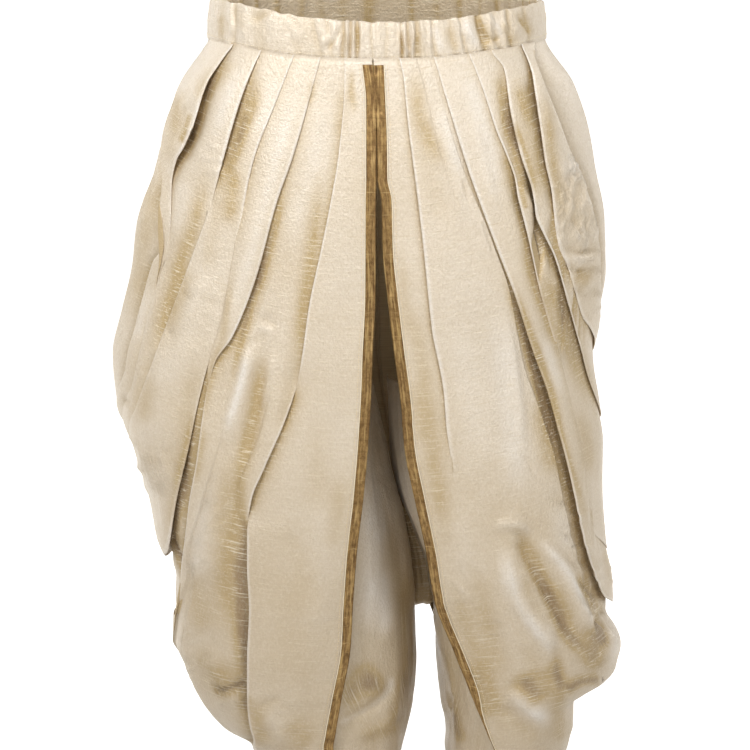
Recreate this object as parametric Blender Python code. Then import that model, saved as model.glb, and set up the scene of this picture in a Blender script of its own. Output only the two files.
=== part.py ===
# Pleated dhoti pants, worn form: waistband, two pleated front drapes with a gold
# tape along each free edge, two back panels, two inner leg panels, a low crotch
# drape and two ankle cuffs. Metres, +Z up, the wearer faces -Y, and the wearer's
# right is at -X. The origin is the middle of the waist, level with the seam that
# joins the waistband to the panels at the sides.
import bpy
import numpy as np
from math import asin, cos, degrees, pi, radians, sin

for old in list(bpy.data.objects):
    bpy.data.objects.remove(old, do_unlink=True)

MM = 0.001

# ---------------------------------------------------------------- driving sizes
CLOTH = 2.0 * MM            # wall of the silk panels as solids
BAND_WALL = 3.0 * MM        # gathered casing round the elastic
BAND_HEIGHT = 41.0 * MM     # waistband, seam to top edge
BAND_DIP = 21.0 * MM        # how far the waist seam drops at the front centre
CUFF_WALL = 3.0 * MM
CUFF_TOP = -925.0 * MM
CUFF_BOTTOM = -966.0 * MM
SEAM_GAP = 0.3 * MM         # between pieces at a seam
TAPE_WIDTH = 10.5 * MM      # gold tape on the free edges
TAPE_WALL = 1.0 * MM
RISER = 3.0 * MM            # width of the step at a pleat's folded edge
LAP = 14.0 * MM             # how far the back panel runs under the front drape
TUCK = 9.0 * MM             # how deep it lies there
ROUND = 2.3                 # exponent of the body sections, 2 is an ellipse

# One row for each level, sizes in mm. The outside of each half (out), its inner
# side (in), the middle of its section (cx), and the front and back of the cloth.
# Above the crotch a half's section is the whole torso; below, it is its leg.
BODY = [
    # z,   r_out, r_in, r_cx, l_out, l_in, l_cx, front, back
    (30, -178, 178, 0, 182, -182, 0, -115, 115),
    (0, -183, 183, 0, 187, -187, 0, -117, 118),
    (-50, -211, 211, 0, 218, -218, 0, -124, 128),
    (-100, -231, 231, 0, 233, -233, 0, -131, 138),
    (-150, -245, 245, 0, 243, -243, 0, -137, 147),
    (-200, -262, 262, 0, 253, -253, 0, -142, 154),
    (-250, -268, 268, 0, 255, -255, 0, -146, 160),
    (-300, -279, 275, 0, 247, -250, 0, -149, 163),
    (-350, -291, 260, -8, 240, -240, 8, -151, 165),
    (-400, -286, 220, -25, 247, -195, 27, -152, 165),
    (-450, -270, 165, -45, 254, -130, 55, -152, 163),
    (-500, -254, 118, -62, 253, -70, 85, -151, 160),
    (-550, -243, 84, -75, 256, -20, 110, -149, 155),
    (-600, -221, 62, -84, 261, 24, 135, -146, 147),
    (-650, -225, 50, -90, 269, 52, 160, -142, 138),
    (-700, -216, 48, -88, 270, 68, 165, -134, 126),
    (-740, -197, 45, -80, 232, 74, 155, -127, 115),
    (-765, -174, 42, -68, 222, 76, 150, -122, 107),
    (-785, -143, 38, -56, 218, 78, 148, -117, 101),
    (-810, -135, 33, -52, 211, 79, 145, -111, 95),
    (-860, -118, 24, -47, 199, 81, 140, -97, 84),
    (-925, -98, 12, -43, 189, 82, 135, -72, 66),
    (-970, -97, 11, -43, 188, 81, 134, -68, 64),
]

# The inner leg panels: the middle of each tube, its inner side, front and back,
# and the angles at which each panel starts (front) and stops (back).
INNER = [
    # z,   r_cx, r_in, l_cx, l_in, front, back, start, stop
    (-375, -62, -4, 76, 14, -86, 60, 25, -92),
    (-450, -64, 11, 84, 18, -100, 75, 25, -94),
    (-500, -68, 21, 94, 27, -110, 85, 22, -96),
    (-550, -76, 31, 112, 45, -118, 92, 20, -98),
    (-600, -84, 38, 135, 62, -122, 100, 18, -102),
    (-650, -88, 43, 155, 66, -124, 133, 18, -132),
    (-700, -84, 45, 160, 71, -122, 121, 20, -136),
    (-750, -72, 41, 152, 77, -115, 108, 18, -138),
    (-810, -52, 30, 145, 82, -103, 91, 19, -140),
    (-860, -47, 20, 140, 84, -90, 79, 24, -140),
    (-925, -43, 8, 135, 86, -66, 61, 36, -140),
]

# Middle line of the garment: the legs part a little to the wearer's left.
MIDDLE = [
    # z, x
    (0, 0), (-350, 2), (-450, 14), (-500, 25), (-550, 37), (-600, 48),
    (-650, 55), (-800, 56), (-970, 56),
]

# Free front edges, which carry the gold tape.
EDGE = [
    # z,  right_x, left_x
    (-22, -3, -1), (-65, 1, 2), (-100, 1, 2.5), (-147, 0.7, 4), (-222, 0.3, 8.6),
    (-276, 0, 14), (-330, -3, 20.5), (-384, -5, 27.5), (-439, -8, 33),
    (-494, -13, 43), (-549, -19, 55), (-605, -24, 66), (-660, -29, 86),
    (-716, -37, 107), (-773, -47, 128), (-830, -57, 146), (-880, -63, 154),
    (-925, -66, 157),
]

# Pleats, from the front edge outwards. x is where the folded edge lies at each
# level as seen from the front, in mm; past its last x it turns round the side
# at turn_z and meets the side-back seam at seam_z. lift is how far the outer
# strip stands over the inner one, at the middle and at the lower end.
# A line of kind run is no fold: it only leads the cloth down to the ankle, and
# its end column is the angle at which it reaches the cuff.
RIGHT_LINES = [
    # name, kind, x_22, x_100, x_200, x_300, x_400, x_500, x_600, x_700, turn_z, seam_z, end, lift, lift_end
    ("panel_edge", "fold", -32, -37, -49, -68, -82, -118, -136, -136, None, None, 50, 2.5, -4.0),
    ("calf_front", "run", -36, -47, -67, -96, -119, -156, -178, -186, None, None, 88, 0, 0),
    ("calf_back", "run", -42, -57, -81, -114, -141, -172, -196, -208, -725, None, 131, 0, 0),
    ("calf_seam", "run", -49, -66, -94, -128, -158, -187, -204, None, -695, -765, None, 0, 0),
    ("fold_2", "fold", -59, -78, -110, -143, -176, -199, -209, None, -655, -640, None, 4.5, 3.5),
    ("fold_3", "fold", -86, -110, -140, -163, -188, -212, None, None, -588, -572, None, 3.0, 3.5),
    ("fold_4", "fold", -118, -150, -183, -209, -242, None, None, None, -470, -478, None, 3.5, 4.0),
    ("fold_5", "fold", -147, -195, -223, -250, None, None, None, None, -432, -438, None, 4.0, 3.5),
    ("side_edge", "edge", -170, -219, -236, -262, None, None, None, None, -405, -405, None, 4.5, 4.5),
]
LEFT_LINES = [
    # name, kind, x_22, x_100, x_200, x_300, x_400, x_500, x_600, x_700, turn_z, seam_z, end, lift, lift_end
    ("fold_1", "fold", 28, 36, 50, 60, 74, 88, 104, 130, None, None, 52, 3.0, 0.5),
    ("calf_front", "run", 45, 65, 98, 124, 148, 172, 190, 204, None, None, 78, 0, 0),
    ("calf_back", "run", 51, 74, 112, 142, 171, 196, 222, 250, -728, None, 131, 0, 0),
    ("calf_seam", "run", 58, 82, 121, 151, 180, 206, 232, None, -700, -750, None, 0, 0),
    ("fold_2", "fold", 65, 90, 128, 157, 187, 214, 238, None, -650, -636, None, 4.5, 4.0),
    ("fold_3", "fold", 97, 125, 158, 182, 206, 232, None, None, -580, -560, None, 2.5, 2.0),
    ("fold_4", "fold", 128, 152, 180, 206, 236, None, None, None, -428, -436, None, 4.0, 3.5),
    ("fold_5", "fold", 157, 182, 198, 215, None, None, None, None, -345, -362, None, 4.0, 3.5),
    ("side_edge", "edge", 175, 206, 232, 240, None, None, None, None, -318, -318, None, 4.5, 4.5),
]
# The seam behind the outside of each leg: degrees round from the front.
SEAM = [
    # z, right, left
    (-318, 90, 90), (-365, 90, 97), (-405, 91, 102), (-450, 98, 107), (-500, 107, 112),
    (-560, 115, 118), (-620, 121, 123), (-700, 128, 128), (-770, 131, 131), (-970, 131, 131),
]
LEVELS = (-22, -100, -200, -300, -400, -500, -600, -700)

# Crotch drape between the legs: its middle line from its upper front end, under
# the seat, to the back, seen from the side.
CROTCH = [
    # y, z
    (0, -526), (10, -552), (24, -592), (38, -628), (52, -646), (62, -648),
]

# Mesh sizes
ROWS = 23
BACK_ROWS = 22
BACK_COLUMNS = 14
INNER_ROWS = 15
INNER_COLUMNS = 8
BAND_COLUMNS = 56
CUFF_COLUMNS = 20


# ---------------------------------------------------------------- curves
def smooth(rows, column, at):
    """Value of a table's column at a level, on a smooth curve that never
    overshoots. The first column falls from row to row."""
    k = [-r[0] for r in rows]
    v = [float(r[column]) for r in rows]
    t = min(max(-at, k[0]), k[-1])
    i = 0
    while i < len(k) - 2 and t > k[i + 1]:
        i += 1
    step = [(v[j + 1] - v[j]) / (k[j + 1] - k[j]) for j in range(len(k) - 1)]

    def slope(j):
        if j == 0:
            return step[0]
        if j == len(k) - 1:
            return step[-1]
        a, b = step[j - 1], step[j]
        return 0.0 if a * b <= 0 else 2.0 * a * b / (a + b)

    h = k[i + 1] - k[i]
    u = (t - k[i]) / h
    return (v[i] * (1 + 2 * u) * (1 - u) ** 2 + slope(i) * h * u * (1 - u) ** 2
            + v[i + 1] * u * u * (3 - 2 * u) + slope(i + 1) * h * u * u * (u - 1))


def section(side, z):
    """The half's section at a level: middle x, outside, inside, front, back."""
    mm = z / MM
    first = 1 if side < 0 else 4
    out, inn, cx = (smooth(BODY, first + c, mm) * MM for c in range(3))
    return cx, out, inn, smooth(BODY, 7, mm) * MM, smooth(BODY, 8, mm) * MM


def on_body(side, angle, z):
    """Point of the cloth's outside at an angle round from the front (outwards
    is positive, 90 is the side, 180 the back) and a level."""
    cx, out, inn, front, back = section(side, z)
    s, c = sin(radians(angle)), cos(radians(angle))
    e = 2.0 / ROUND
    x = cx + ((out if s >= 0 else inn) - cx) * abs(s) ** e
    y = (front if c >= 0 else back) * abs(c) ** e
    return np.array((x, y, z))


def angle_at(side, x, z, behind=False):
    """Angle at which the front (or the back) of the cloth passes x."""
    cx, out, inn, _, _ = section(side, z)
    outward = (x - cx) * side >= 0
    part = min(abs(x - cx) / abs((out if outward else inn) - cx), 1.0)
    a = degrees(asin(part ** (ROUND / 2.0)))
    a = a if outward else -a
    return 180.0 - a if behind else a


def normal_at(place, a, z):
    """Outward direction of the surface place(angle, level)."""
    da, dz = 1.2, 0.004
    across = place(a + da, z) - place(a - da, z)
    down = place(a, z - dz) - place(a, z + dz)
    n = np.cross(across, down)
    return n / np.linalg.norm(n)


def seam_level(angle):
    """Height of the waist seam round the body."""
    c = cos(radians(angle))
    return -BAND_DIP * c ** 2 if c > 0 else 0.004 * c ** 2


def through(points, count):
    """Points spread evenly along a smooth line through the given ones."""
    p = np.array(points, float)
    ends = np.vstack((2 * p[0] - p[1], p, 2 * p[-1] - p[-2]))
    line = []
    for i in range(len(p) - 1):
        a, b, c, d = ends[i:i + 4]
        for u in np.linspace(0, 1, 12, endpoint=False):
            line.append(0.5 * (2 * b + (c - a) * u + (2 * a - 5 * b + 4 * c - d) * u ** 2
                               + (3 * b - a - 3 * c + d) * u ** 3))
    line = np.array(line + [p[-1]])
    metric = line * np.array((0.0042, 1.0))      # a degree is about 4 mm of cloth
    far = np.concatenate(([0], np.cumsum(np.linalg.norm(np.diff(metric, axis=0), axis=1))))
    want = np.linspace(0, far[-1], count)
    return np.stack([np.interp(want, far, line[:, c]) for c in (0, 1)], axis=1)


def seam_angle(side, z):
    return smooth(SEAM, 1 if side < 0 else 2, z / MM)


def free_edge(side, count):
    pts = []
    column = 1 if side < 0 else 2
    for row in EDGE:
        z = row[0] * MM
        pts.append((angle_at(side, row[column] * MM, z), z))
    pts[0] = (pts[0][0], seam_level(pts[0][0]) - SEAM_GAP)
    pts[-1] = (pts[-1][0], CUFF_TOP + SEAM_GAP)
    return through(pts, count)


def pleat_line(side, row, count):
    """A pleat's line as (angle, level) points from the waist to its end."""
    name, kind = row[0], row[1]
    xs, turn, seam, end = row[2:10], row[10], row[11], row[12]
    pts = []
    for level, x in zip(LEVELS, xs):
        if x is None:
            continue
        a = angle_at(side, x * MM, level * MM)
        z = seam_level(a) - SEAM_GAP if level == LEVELS[0] else level * MM
        pts.append((a, z))
    if turn is not None and seam is None:          # led round the calf to the cuff
        pts.append((92.0, turn * MM))
        pts.append((end - 6.0, (turn * MM + CUFF_TOP) / 2))
    elif turn is not None:
        last = seam_angle(side, seam * MM)
        pts.append((90.0, turn * MM))
        if last > 104.0:
            pts.append((0.45 * 90.0 + 0.55 * last, (0.4 * turn + 0.6 * seam) * MM))
        if last > 91.5:
            pts.append((last, seam * MM))
    if end is not None:
        pts.append((end, CUFF_TOP + SEAM_GAP))
    return through(pts, count)


def drape_columns(side, rows):
    """Columns of the front drape: for each, (angle, level) points down the cloth
    and how far each stands off the body."""
    table = RIGHT_LINES if side < 0 else LEFT_LINES
    w = np.linspace(0, 1, rows)
    ramp = 0.35 + 0.65 * np.clip(w / 0.18, 0, 1)
    lines = [free_edge(side, rows)] + [pleat_line(side, r, rows) for r in table]
    up_out, up_in = [np.zeros(rows)], [np.zeros(rows)]      # outer / inner side of a line
    for r in table:
        lift = (r[13] + (r[14] - r[13]) * np.clip((w - 0.45) / 0.4, 0, 1)) * MM * ramp
        up_out.append(np.maximum(lift, 0))
        up_in.append(np.maximum(-lift, 0))
    columns, tape = [], []
    for i in range(len(table)):
        a, b = lines[i], lines[i + 1]
        low, high = up_out[i], up_in[i + 1]
        last = table[i][1] == "edge"
        if table[i][1] == "edge":
            high = up_out[i + 1]
        if table[i][1] == "run":
            low, high = low * 0, high
        span = np.linalg.norm((b - a) * np.array((0.0042, 1.0)), axis=1)
        parts = 3 if i in (0, 3, 4) else 2
        stops = list(np.linspace(0, 1, parts + 1))
        if i > 0 and table[i - 1][1] == "run":
            stops = stops[1:]                                # shared with the strip before
        for s in stops:
            if i == 0 and s == stops[1]:
                share = TAPE_WIDTH / span                    # the tape's outer edge
            elif s == 1.0 and table[i][1] == "fold":
                share = 1.0 - np.minimum(RISER / span, 0.35)
            else:
                share = np.full(rows, s)
            pts = a + (b - a) * share[:, None]
            columns.append((pts, low + (high - low) * share))
            if i == 0 and len(tape) < 2:
                tape.append(len(columns) - 1)
    return columns, tape


# ---------------------------------------------------------------- meshes
def material(name, colour, roughness, metallic=0.0):
    m = bpy.data.materials.new(name)
    m.use_nodes = True
    shader = m.node_tree.nodes["Principled BSDF"]
    shader.inputs["Base Color"].default_value = (*colour, 1.0)
    shader.inputs["Roughness"].default_value = roughness
    shader.inputs["Metallic"].default_value = metallic
    m.diffuse_color = (*colour, 1.0)
    return m


SILK = (0.80, 0.70, 0.53)


def piece(name, verts, faces, colour=SILK, roughness=0.42, metallic=0.0):
    v = np.array(verts, float)
    t = np.array(faces)
    volume = np.einsum("ij,ij->i", v[t[:, 0]], np.cross(v[t[:, 1]], v[t[:, 2]])).sum()
    if volume < 0:                                  # faces point out of the wall
        faces = [f[::-1] for f in faces]
    mesh = bpy.data.meshes.new(name)
    mesh.from_pydata([tuple(float(c) for c in v) for v in verts], [], faces)
    mesh.validate()
    mesh.update()
    obj = bpy.data.objects.new(name, mesh)
    bpy.context.scene.collection.objects.link(obj)
    mesh.materials.append(material(name + "_cloth", colour, roughness, metallic))
    mesh.shade_smooth()
    mesh.set_sharp_from_angle(angle=radians(38))
    return obj


def slab(name, outer, inner, **look):
    """Closed wall between two grids of points, rows by columns."""
    rows, cols = outer.shape[:2]
    verts = list(outer.reshape(-1, 3)) + list(inner.reshape(-1, 3))
    back = rows * cols

    def at(r, c, deep):
        return r * cols + c + (back if deep else 0)

    faces = []
    for r in range(rows - 1):
        for c in range(cols - 1):
            for deep in (False, True):
                q = [at(r, c, deep), at(r + 1, c, deep), at(r + 1, c + 1, deep), at(r, c + 1, deep)]
                d1 = np.linalg.norm(np.subtract(verts[q[0]], verts[q[2]]))
                d2 = np.linalg.norm(np.subtract(verts[q[1]], verts[q[3]]))
                # both sides of the wall are cut along the same diagonal
                if not deep:
                    short = d1 <= d2
                tri = ([q[0], q[1], q[2]], [q[0], q[2], q[3]]) if short else ([q[0], q[1], q[3]], [q[1], q[2], q[3]])
                faces += [t[::-1] if deep else t for t in tri]
    rim = ([(0, c) for c in range(cols - 1)] + [(r, cols - 1) for r in range(rows - 1)]
           + [(rows - 1, c) for c in range(cols - 1, 0, -1)] + [(r, 0) for r in range(rows - 1, 0, -1)])
    for k, (r, c) in enumerate(rim):
        r2, c2 = rim[(k + 1) % len(rim)]
        faces.append([at(r, c, False), at(r2, c2, False), at(r2, c2, True)])
        faces.append([at(r, c, False), at(r2, c2, True), at(r, c, True)])
    return piece(name, verts, faces, **look)


def ring(name, top_outer, top_inner, bottom_outer, bottom_inner, **look):
    """Closed band round an opening, from four loops of points."""
    n = len(top_outer)
    loops = [top_outer, bottom_outer, bottom_inner, top_inner]
    verts = [p for loop in loops for p in loop]
    faces = []
    for k in range(4):
        a, b = k * n, ((k + 1) % 4) * n
        for i in range(n):
            j = (i + 1) % n
            faces.append([a + i, b + i, b + j])
            faces.append([a + i, b + j, a + j])
    return piece(name, verts, faces, **look)


def front_drape(side, name, tape_name):
    place = lambda a, z: on_body(side, a, z)
    columns, tape = drape_columns(side, ROWS)
    outer = np.zeros((ROWS, len(columns), 3))
    inner = np.zeros_like(outer)
    out_dir = np.zeros_like(outer)
    for c, (pts, off) in enumerate(columns):
        for r in range(ROWS):
            a, z = pts[r]
            n = normal_at(place, a, z)
            n = n if side < 0 else -n
            flat = n.copy()
            if r in (0, ROWS - 1):
                flat[2] = 0.0                     # the seams stay level
                flat /= np.linalg.norm(flat)
            p = place(a, z)
            outer[r, c] = p + flat * off[r]
            inner[r, c] = p + flat * (off[r] - CLOTH)
            out_dir[r, c] = flat
    slab(name, outer, inner)
    first, second = tape
    cols = [first, second]
    low = outer[:, cols] + out_dir[:, cols] * SEAM_GAP
    high = outer[:, cols] + out_dir[:, cols] * (SEAM_GAP + TAPE_WALL)
    slab(tape_name, high, low, colour=(0.47, 0.30, 0.12), roughness=0.38, metallic=0.6)


def back_edge_angle(side, z):
    """Where a back panel ends towards the middle: the centre-back seam, then
    the inside of its leg."""
    middle = smooth(MIDDLE, 1, z / MM) * MM + side * 0.5 * SEAM_GAP
    cx, out, inn, _, _ = section(side, z)
    part = min(abs(middle - cx) / abs(inn - cx), 1.0)
    inward = (middle - cx) * side < 0
    a = degrees(asin(part ** (ROUND / 2.0)))
    limit = 64.0 - 22.0 * min(max((-0.65 - z) / 0.27, 0), 1)
    return 180.0 + (min(a, limit) if inward else -a)


def side_edge_angle(side, z):
    """Where the front drape's outer edge lies at a level, down the side and
    then down the seam behind the leg."""
    table = RIGHT_LINES if side < 0 else LEFT_LINES
    line = pleat_line(side, table[-1], 60)
    turn = table[-1][10] * MM
    if z > turn:
        return float(np.interp(-z, -line[:, 1], line[:, 0]))
    return seam_angle(side, z)


def back_panel(side, name):
    place = lambda a, z: on_body(side, a, z)
    shape = (BACK_ROWS, BACK_COLUMNS, 3)
    outer, inner = np.zeros(shape), np.zeros(shape)
    for r in range(BACK_ROWS):
        v = r / (BACK_ROWS - 1)
        top = 0.004
        z_mid = top + (CUFF_TOP - top) * v
        for c in range(BACK_COLUMNS):
            z = z_mid
            edge = side_edge_angle(side, z)
            a1 = back_edge_angle(side, z)
            # two columns run under the front drape, the rest share the panel
            u = max(c - 2, 0) / (BACK_COLUMNS - 3)
            if c == 0:
                a, tuck = edge - degrees(LAP / 0.21), TUCK
            elif c == 1:
                a, tuck = edge + 0.9, TUCK
            else:
                a, tuck = edge + 3.0 + (a1 - edge - 3.0) * u, 0.0
            if r == 0:
                z = seam_level(a) - SEAM_GAP
            elif r == BACK_ROWS - 1:
                z = CUFF_TOP + SEAM_GAP
            n = normal_at(place, a, z)
            n = n if side < 0 else -n
            if r in (0, BACK_ROWS - 1):
                n[2] = 0.0
                n /= np.linalg.norm(n)
            # gathers at the waist that sweep towards the seat as they fall
            sweep = 3.5 * u + 1.2 * v * v
            depth = 9.0 * MM * min(1.0, 0.25 + v / 0.22) * max(0.0, 1.0 - 0.75 * v)
            fade = min(max((u - 0.04) / 0.12, 0), 1) * min(max((1.0 - u) / 0.12, 0), 1)
            off = depth * fade * (0.5 - 0.5 * cos(2 * pi * sweep)) - tuck
            p = place(a, z)
            if u == 1.0 and z > -0.60:            # keep the centre-back seam in its plane
                n[0] = 0.0
                n /= np.linalg.norm(n)
            outer[r, c] = p + n * off
            inner[r, c] = p + n * (off - CLOTH)
    slab(name, outer, inner)


def on_inner(side, angle, z):
    """Point of an inner leg panel's outside."""
    mm = z / MM
    first = 1 if side < 0 else 3
    cx, inn = smooth(INNER, first, mm) * MM, smooth(INNER, first + 1, mm) * MM
    front, back = smooth(INNER, 5, mm) * MM, smooth(INNER, 6, mm) * MM
    s, c = sin(radians(angle)), cos(radians(angle))
    e = 2.0 / ROUND
    x = cx + (inn - cx) * abs(s) ** e * (-1 if s >= 0 else 1)
    y = (front if c >= 0 else back) * abs(c) ** e
    return np.array((x, y, z))


def inner_leg(side, name):
    place = lambda a, z: on_inner(side, a, z)
    shape = (INNER_ROWS, INNER_COLUMNS, 3)
    outer, inner = np.zeros(shape), np.zeros(shape)
    top, bottom = INNER[0][0] * MM, CUFF_TOP + SEAM_GAP
    for r in range(INNER_ROWS):
        z = top + (bottom - top) * r / (INNER_ROWS - 1)
        a0, a1 = smooth(INNER, 7, z / MM), smooth(INNER, 8, z / MM)
        for c in range(INNER_COLUMNS):
            a = a0 + (a1 - a0) * c / (INNER_COLUMNS - 1)
            n = normal_at(place, a, z)
            n = n if side < 0 else -n
            if r in (0, INNER_ROWS - 1):
                n[2] = 0.0
                n /= np.linalg.norm(n)
            under = 3.0 * MM if c == 0 else 0.0       # beneath the front drape
            p = place(a, z) - n * under
            outer[r, c] = p
            inner[r, c] = p - n * CLOTH
    slab(name, outer, inner)


def inner_x(side, y, z):
    """x of an inner leg's side at a depth and level."""
    mm = z / MM
    first = 1 if side < 0 else 3
    cx, inn = smooth(INNER, first, mm) * MM, smooth(INNER, first + 1, mm) * MM
    depth = smooth(INNER, 6 if y > 0 else 5, mm) * MM
    c = min(abs(y / depth), 1.0) ** (ROUND / 2.0)
    return cx + (inn - cx) * (1 - c * c) ** (1.0 / ROUND)


def crotch():
    rows, cols = 8, 5
    line = through([(p[0] / 4.2 * 1.0, p[1] * MM) for p in CROTCH], rows)
    line[:, 0] *= 4.2 * MM
    outer, inner = np.zeros((rows, cols, 3)), np.zeros((rows, cols, 3))
    for r in range(rows):
        a, b = line[max(r - 1, 0)], line[min(r + 1, rows - 1)]
        t = (b - a) / np.linalg.norm(b - a)
        n = np.array((0.0, t[1], -t[0]))              # towards the front and down
        y, z = line[r]
        x0 = inner_x(-1, y, z) + 2.5 * MM
        x1 = inner_x(1, y, z) - 2.5 * MM
        for c in range(cols):
            u = c / (cols - 1)
            sag = 0.10 * (x1 - x0) * 4 * u * (1 - u)
            p = np.array((x0 + (x1 - x0) * u, y, z)) + n * sag
            outer[r, c] = p
            inner[r, c] = p - n * CLOTH
    slab("crotch_gusset", outer, inner)


def waistband():
    loops = [[], [], [], []]
    for i in range(BAND_COLUMNS):
        full = 360.0 * i / BAND_COLUMNS
        side, a = (-1, full) if full <= 180 else (1, 360.0 - full)
        p = on_body(side, a, 0.0)
        n = np.array((p[0], p[1], 0.0))
        n[0] /= 0.183 ** 2
        n[1] /= 0.117 ** 2
        n /= np.linalg.norm(n)
        gather = 1.0 * MM * (0.5 + 0.5 * cos(radians(full) * 16))
        bottom = seam_level(a)
        for k, (lean, z) in enumerate(((-0.0035, bottom + BAND_HEIGHT), (-0.0035, bottom + BAND_HEIGHT),
                                       (0.0, bottom), (0.0, bottom))):
            wall = BAND_WALL if k in (1, 3) else 0.0
            q = p + n * (gather + lean - wall)
            loops[k].append(np.array((q[0], q[1], z)))
    ring("waistband", loops[0], loops[1], loops[2], loops[3])


def cuff(side, name):
    top_z, bottom_z = CUFF_TOP - SEAM_GAP * 0.5, CUFF_BOTTOM
    loops = {}
    for key, z in (("top", top_z), ("bottom", bottom_z)):
        cx = section(side, z)[0]
        for deep in (False, True):
            pts = []
            for i in range(CUFF_COLUMNS):
                a = -180.0 + 360.0 * i / CUFF_COLUMNS
                a = a * (1 if side < 0 else -1)
                p = on_body(side, a, z)
                n = p - np.array((cx, 0.0, z))
                n /= np.linalg.norm(n)
                pts.append(p + n * (1.0 * MM - (CUFF_WALL if deep else 0.0)))
            loops[key, deep] = pts
    ring(name, loops["top", False], loops["top", True], loops["bottom", False], loops["bottom", True])


def main():
    waistband()
    front_drape(-1, "right_front_drape", "right_border")
    front_drape(1, "left_front_drape", "left_border")
    back_panel(-1, "right_back")
    back_panel(1, "left_back")
    inner_leg(-1, "right_inner_leg")
    inner_leg(1, "left_inner_leg")
    crotch()
    cuff(-1, "right_cuff")
    cuff(1, "left_cuff")


main()
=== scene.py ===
# Looks of the pleated silk dhoti pants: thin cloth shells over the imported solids,
# with every pleat folded over its neighbour, gold tape along both free edges,
# stitching, floor, lights and camera. Metres, +Z up, the garment's front faces -Y.
import bpy
import numpy as np
from math import atan, pi, radians, sqrt
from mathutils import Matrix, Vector


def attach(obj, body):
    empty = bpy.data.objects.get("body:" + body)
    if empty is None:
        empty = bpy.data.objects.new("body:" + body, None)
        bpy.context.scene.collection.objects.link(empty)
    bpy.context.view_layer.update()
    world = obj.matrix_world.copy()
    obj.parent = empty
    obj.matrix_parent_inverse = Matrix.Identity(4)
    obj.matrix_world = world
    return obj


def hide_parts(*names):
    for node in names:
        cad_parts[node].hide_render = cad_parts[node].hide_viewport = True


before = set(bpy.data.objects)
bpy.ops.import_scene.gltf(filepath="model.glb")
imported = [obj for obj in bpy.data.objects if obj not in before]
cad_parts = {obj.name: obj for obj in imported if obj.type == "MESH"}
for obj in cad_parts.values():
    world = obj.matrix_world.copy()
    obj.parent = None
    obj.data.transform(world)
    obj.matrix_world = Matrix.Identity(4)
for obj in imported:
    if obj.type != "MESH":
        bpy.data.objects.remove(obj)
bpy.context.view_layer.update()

MM = 0.001

# ---------------------------------------------------------------- camera
# 750 x 750 view, one pixel is 1.08 mm at the distance of the aim point.
CAM = np.array((0.0, -3.3, 0.10))
AIM = np.array((0.0, -0.12, -0.3586))
PIXEL = 1.08 * MM
FAR = float(np.linalg.norm(AIM - CAM))
LOOK = (AIM - CAM) / FAR
RIGHT = np.array((1.0, 0.0, 0.0))
UP = np.cross(RIGHT, LOOK)
HALF = 375 * PIXEL / FAR


def make_camera():
    data = bpy.data.cameras.new("camera")
    data.sensor_width = 36.0
    data.lens = 18.0 / HALF
    data.clip_start, data.clip_end = 0.05, 60.0
    cam = bpy.data.objects.new("camera", data)
    bpy.context.scene.collection.objects.link(cam)
    cam.location = CAM
    cam.rotation_mode = "QUATERNION"
    cam.rotation_quaternion = Vector(LOOK).to_track_quat("-Z", "Y")
    bpy.context.scene.camera = cam


def picture(p):
    """Where points fall in the 750 x 750 view."""
    v = p - CAM
    far = v @ LOOK
    return 375 + 375 * (v @ RIGHT) / far / HALF, 375 - 375 * (v @ UP) / far / HALF


def ray(px, py, y):
    """World x and z seen at a pixel, at depth y."""
    kx, ky = (px - 375) / 375 * HALF, (375 - py) / 375 * HALF
    d = LOOK + np.multiply.outer(kx, RIGHT) + np.multiply.outer(ky, UP)
    t = (y - CAM[1]) / d[..., 1]
    return CAM[0] + d[..., 0] * t, CAM[2] + d[..., 2] * t


# ---------------------------------------------------------------- form tables
BAND_HEIGHT = 41.0 * MM
BAND_DIP = 21.0 * MM
CUFF_TOP = -925.0 * MM
CUFF_BOTTOM = -966.0 * MM
SEAM_GAP = 0.3 * MM
TAPE_WIDTH = 10.5 * MM
ROUND = 2.3
THREAD = 0.55 * MM          # thickness of the silk

# Outside, inside and middle of each half, front and back of the cloth, in mm.
BODY = [
    # z,   r_out, r_in, r_cx, l_out, l_in, l_cx, front, back
    (30, -178, 178, 0, 182, -182, 0, -115, 115),
    (0, -183, 183, 0, 187, -187, 0, -117, 118),
    (-50, -211, 211, 0, 218, -218, 0, -124, 128),
    (-100, -231, 231, 0, 233, -233, 0, -131, 138),
    (-150, -245, 245, 0, 243, -243, 0, -137, 147),
    (-200, -262, 262, 0, 253, -253, 0, -142, 154),
    (-250, -268, 268, 0, 255, -255, 0, -146, 160),
    (-300, -279, 275, 0, 247, -250, 0, -149, 163),
    (-350, -291, 260, -8, 240, -240, 8, -151, 165),
    (-400, -286, 220, -25, 247, -195, 27, -152, 165),
    (-450, -270, 165, -45, 254, -130, 55, -152, 163),
    (-500, -254, 118, -62, 253, -70, 85, -151, 160),
    (-550, -243, 84, -75, 256, -20, 110, -149, 155),
    (-600, -221, 62, -84, 261, 24, 135, -146, 147),
    (-645, -224, 51, -89, 262, 50, 159, -142, 139),
    (-672, -226, 49, -90, 273, 60, 162, -139, 133),
    (-700, -216, 48, -88, 270, 68, 164, -134, 126),
    (-715, -210, 47, -86, 257, 71, 162, -132, 122),
    (-727, -204, 46, -84, 238, 72, 158, -129, 118),
    (-740, -196, 45, -80, 222, 73, 155, -127, 114),
    (-765, -174, 42, -68, 222, 76, 150, -122, 107),
    (-785, -143, 38, -56, 218, 78, 148, -117, 101),
    (-810, -135, 33, -52, 211, 79, 145, -111, 95),
    (-860, -118, 24, -47, 199, 81, 140, -97, 84),
    (-925, -98, 12, -43, 189, 82, 135, -72, 66),
    (-970, -97, 11, -43, 188, 81, 134, -68, 64),
]
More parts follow.
